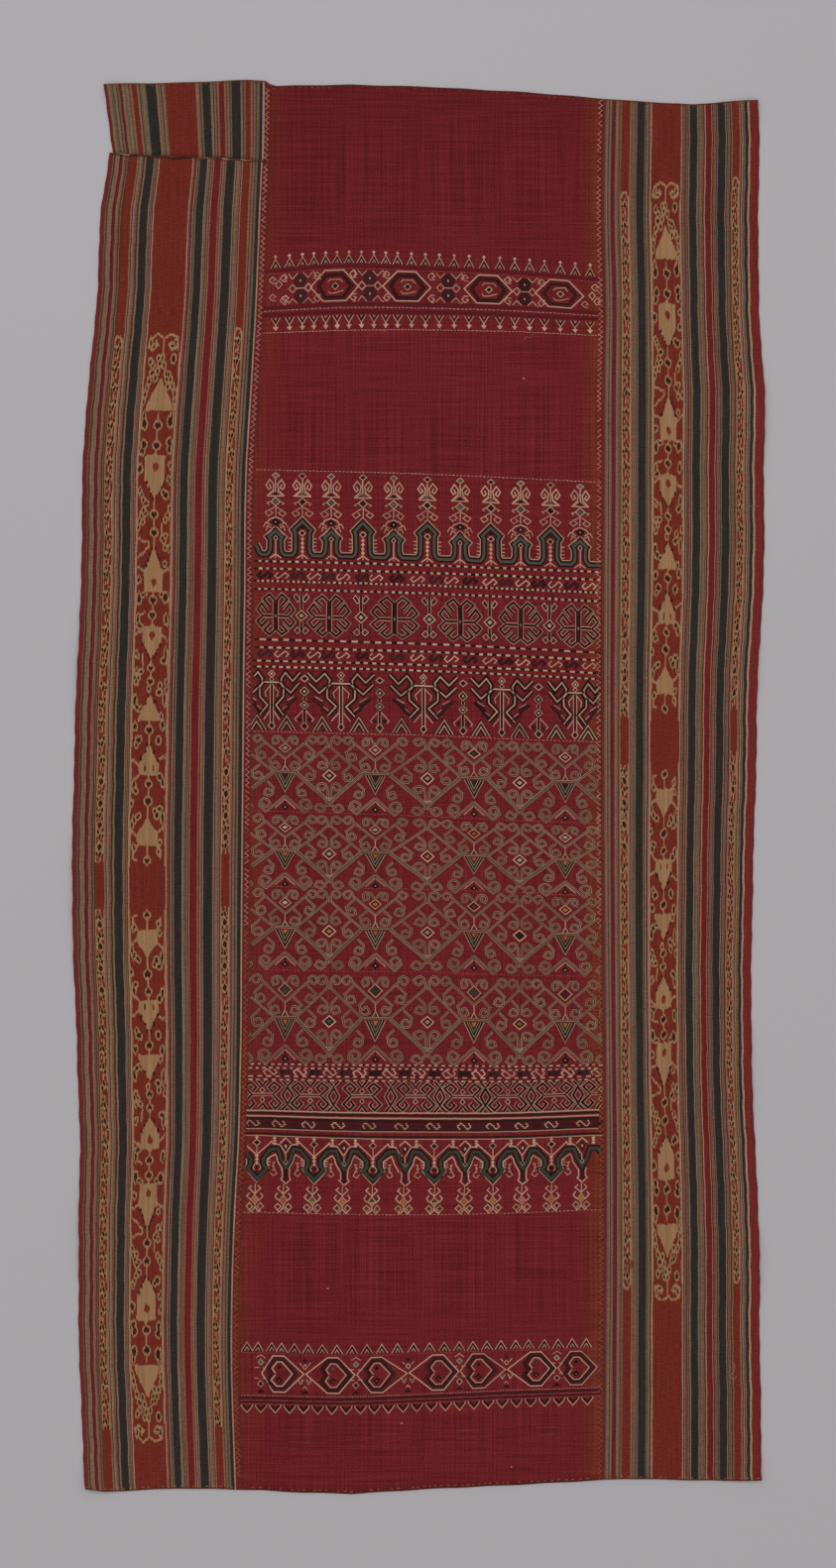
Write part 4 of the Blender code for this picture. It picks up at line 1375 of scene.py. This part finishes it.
def ikatStripe(work, panel, order, stripe, pattern, upper, lower, shift):
    # upper and lower are where the two halves start and end
    before, count, total = stripeThreads(order, stripe)
    threads = np.arange(before, before + count)
    fine = ikat["fine"]
    rows = np.arange(upper[0], lower[1], fine)
    middle = (upper[1] + lower[0]) / 2
    folded = middle - np.abs(rows - middle)
    bundles = np.repeat(rng.normal(0, 0.55, len(threads) // 3 + 2), 3)[:len(threads)]
    slips = bundles + rng.normal(0, 0.45, len(threads))
    across = (threads - threads.mean())[:, None] / 2 + np.zeros(len(rows))
    across = across * ikat["wide" if pattern is wideIkat else "narrow"] / (len(threads) / 2)
    down = folded[None, :] + slips[:, None]
    grid = pattern(across, down - shift, (upper[0] - shift, upper[1] - shift))
    grid[(down < upper[0]) | (down > upper[1])] = 0
    stations = np.arange(-1050, 1050, 2.0)
    left, right = [edge(stations) for edge in panelEdges[panel][:2]]
    for thread, line in zip(threads, grid):
        change = np.flatnonzero(np.diff(np.concatenate([[0], line, [0]])))
        for a, b in zip(change[:-1], change[1:]):
            if not line[a] or b - a < 2:
                continue
            length = (b - a) * fine
            ends = np.linspace(rows[a], rows[a] + length, max(2, math.ceil(length / ikat["longest"]) + 1))
            y = (chart["middle"][1] - ends) * chart["square"]
            sides = []
            for side in (thread - ikat["overlap"], thread + 1 + ikat["overlap"]):
                s = side / total
                sides.append(np.column_stack([np.interp(y, stations, left * (1 - s) + right * s), y]))
            middleTips = (sides[0] + sides[1]) / 2
            tips = np.array([middleTips[0] + (0, ikat["tip"]), middleTips[-1] - (0, ikat["tip"])])
            flat = np.vstack([sides[0], sides[1], tips])
            n = len(ends)
            i = np.arange(n - 1)
            faces = [np.column_stack([i, i + 1, i + 1 + n]), np.column_stack([i, i + 1 + n, i + n]),
                     np.array([(2 * n, 0, n), (n - 1, 2 * n + 1, 2 * n - 1)])]
            points = np.column_stack([flat, np.full(len(flat), ikat["high"])])
            work["points"].append(points)
            work["faces"].append(np.vstack(faces) + work["count"])
            work["yarns"].append(np.full(2 * n, (line[a] - 1) * 3 + int(rng.integers(3))))
            work["count"] += len(points)


def ikatMaterials():
    # Cotton dyed in the warp after tying: the same matte thread, paler or darker along its length
    made = []
    for dye, tones in ikatColours.items():
        for n, tone in enumerate(tones):
            name = "ikatDyedCotton" + dye[0].upper() + dye[1:] + "ABC"[n]
            material, tree, shader = newMaterial(name, 0.9, Specular_IOR_Level=0.05)
            shader.inputs["Base Color"].default_value = linear(tone)
            weaveBump(tree, shader, 1.0, 0.12)
            made.append(material)
    return made


ikatCotton = ikatMaterials()


def makeIkat():
    plans = {
        "leftPanel": (leftWarp, (("r69", wideIkat, (336, 874), (917, 1456), 0),
                                 ("r17", narrowIkat, (338, 870), (917, 1442), 0),
                                 ("r16", narrowIkat, (330, 861), (914, 1439), 0))),
        "rightPanel": (rightWarp, (("r60", wideIkat, (183, 727), (769, 1312), -153),
                                   ("r17", narrowIkat, (193, 723), (771, 1302), 0),
                                   ("r14", narrowIkat, (178, 715), (758, 1303), 0))),
    }
    for panel, (order, stripes) in plans.items():
        work = startWork()
        for stripe in stripes:
            ikatStripe(work, panel, order, *stripe)
        finishWork(work, panel + "Ikat", panel, clothPlace, ikatCotton)


makeIkat()

# Sewing: the zigzag beside both seams, running stitches in the hems, the rolled join and loose ends
zigzag = {
    "inset": 3.7,               # of its middle from the seam, on the panel's own side
    "half": 2.9,                # its half width
    "step": 3.8,
    "width": 1.1,
    "skipped": 0.05,            # the share of stitches that are worn away
    "top": ("madder", "pinkCream"),
    "faded": ("madder", "ochre"),
    "fadesAt": -200,
}
hem = {
    "inset": {"top": 3.4, "bottom": -3.8},
    "fold": {"top": 0.9, "bottom": -0.9},
    "yarns": {"top": ("ochre", "rust", "madder"), "bottom": ("pinkCream", "yellow", "rust")},
}


def stitch(work, yarn, path, width, high=None):   # all in millimetres here
    ribbon(work, yarn, np.array(path, float), width, high=high)


def seamStitches(name, seam, panel, top, bottom):
    # A zigzag along the seam, in faded pink thread that turns ochre further down
    work = startWork()
    y = top
    n = 0
    while y > bottom:
        middle = longEdge(seam, np.array([y]))[0] - zigzag["inset"]
        near = middle + zigzag["half"] + rng.uniform(-0.3, 0.3)
        far = middle - zigzag["half"] + rng.uniform(-0.4, 0.4)
        step = zigzag["step"] * rng.uniform(0.92, 1.1)
        path = [(far, y), (near, y - step)] if n % 2 else [(near, y), (far, y - step)]
        yarns = zigzag["top" if y > zigzag["fadesAt"] else "faded"]
        if rng.random() > zigzag["skipped"]:
            stitch(work, yarns[int(rng.random() < 0.8)], path, zigzag["width"], high=0.34)
        y -= step
        n += 1
    finishWork(work, name, panel, clothPlace)


def hemLine(panel, end, margin):   # an end of the panel, and where its hem starts and stops
    left, right, bottom, top = panelEdges[panel]
    y = np.array([1000.0 if end == "top" else -1000.0])
    return top if end == "top" else bottom, left(y)[0] + margin, right(y)[0] - margin


def hemStitches(panel, ends=("top", "bottom")):
    work = startWork()
    for end in ends:
        edge, x, last = hemLine(panel, end, 4)
        while x < last:
            length = rng.uniform(2.4, 4.6)
            here = np.array([x, x + length])
            y = edge(here) - hem["inset"][end] + rng.uniform(-0.4, 0.4)
            yarn = hem["yarns"][end][int(rng.integers(3))]
            stitch(work, yarn, list(zip(here, y)), 0.8, high=0.3)
            x += length + rng.uniform(3.5, 7.5)
    fold = "crimson" if panel == "centrePanel" else "rust"
    for end in ends:   # the hem's folded edge
        edge, first, last = hemLine(panel, end, 3)
        x = np.arange(first, last, 7.0)
        stitch(work, fold, list(zip(x, edge(x) - hem["fold"][end])), 1.5, high=0.5)
    finishWork(work, panel + "Hem", panel, clothPlace)


def joinRoll():
    # The raw edges are rolled together and whipped, which leaves a wavy ridge across the join
    work = startWork()
    x = np.arange(-449.0, -222.0, 3.0)
    ridge = joinEdge(x) - 1.8 + 0.9 * np.sin(x / 5.5) + 0.6 * np.sin(x / 13.0 + 1)
    dark = x < -330
    stitch(work, "black", list(zip(x[dark], ridge[dark] - 0.9)), 1.5, high=1.0)
    stitch(work, "rust", list(zip(x[~dark], ridge[~dark] - 0.9)), 1.4, high=1.0)
    for k in range(0, len(x) - 3, 3):
        yarn = ("paleCream", "rust", "ochre", "olive")[int(rng.integers(4))]
        stitch(work, yarn, list(zip(x[k:k + 4], ridge[k:k + 4] + 0.7)), 1.7, high=1.3)
    for at in np.arange(-448.0, -224.0, 4.6):
        y = joinEdge(np.array([at]))[0] - 1.8
        yarn = "paleCream" if rng.random() < 0.5 else "pinkCream"
        stitch(work, yarn, [(at, y + 1.8), (at + 2.2, y - 2)], 0.7, high=1.5)
    finishWork(work, "joinRoll", "leftPanel", clothPlace)


def looseEnds():
    # A brown darn, thread ends and a few pale slubs, each in its place on the cloth
    work = startWork()
    x, y = onChart([(632, 1276)])[0]
    for n in range(7):
        across = x + n * 1.5
        stitch(work, "rust", [(across, y + 11 - n), (across + 0.5, y - 9 + n)], 1.2)
    for end in ([(738, 1374), (741, 1377), (740, 1384), (736, 1388), (739, 1392), (743, 1389)],
                [(756, 511), (761, 509), (765, 512)]):
        stitch(work, "paleCream", onChart(end), 0.7, high=0.8)
    finishWork(work, "rightDarnAndEnds", "rightPanel", clothPlace)
    work = startWork()
    slubs = ((527, 382, "paleCream", 3), (404, 1436, "pinkCream", 3), (470, 430, "rust", 2.5),
             (330, 1300, "paleCream", 2), (515, 1480, "pinkCream", 2))
    for a, b, yarn, length in slubs:
        x, y = onChart([(a, b)])[0]
        stitch(work, yarn, [(x, y), (x + length * 0.6, y + 0.4), (x + length, y - 0.3)], 1.6)
    stitch(work, "pink", onChart([(528, 343), (531, 340), (535, 341), (538, 336)]), 0.9, high=0.8)
    finishWork(work, "centreSlubs", "centrePanel", clothPlace)


seamStitches("leftSeamStitches", "leftSeam", "leftPanel", 910.0, -1008.0)
seamStitches("addedSeamStitches", "leftSeam", "addedPiece", 1026.0, 916.0)
seamStitches("rightSeamStitches", "rightSeam", "centrePanel", 1012.0, -1008.0)
hemStitches("centrePanel")
hemStitches("leftPanel", ("bottom",))
hemStitches("rightPanel")
hemStitches("addedPiece", ("top",))
joinRoll()
looseEnds()
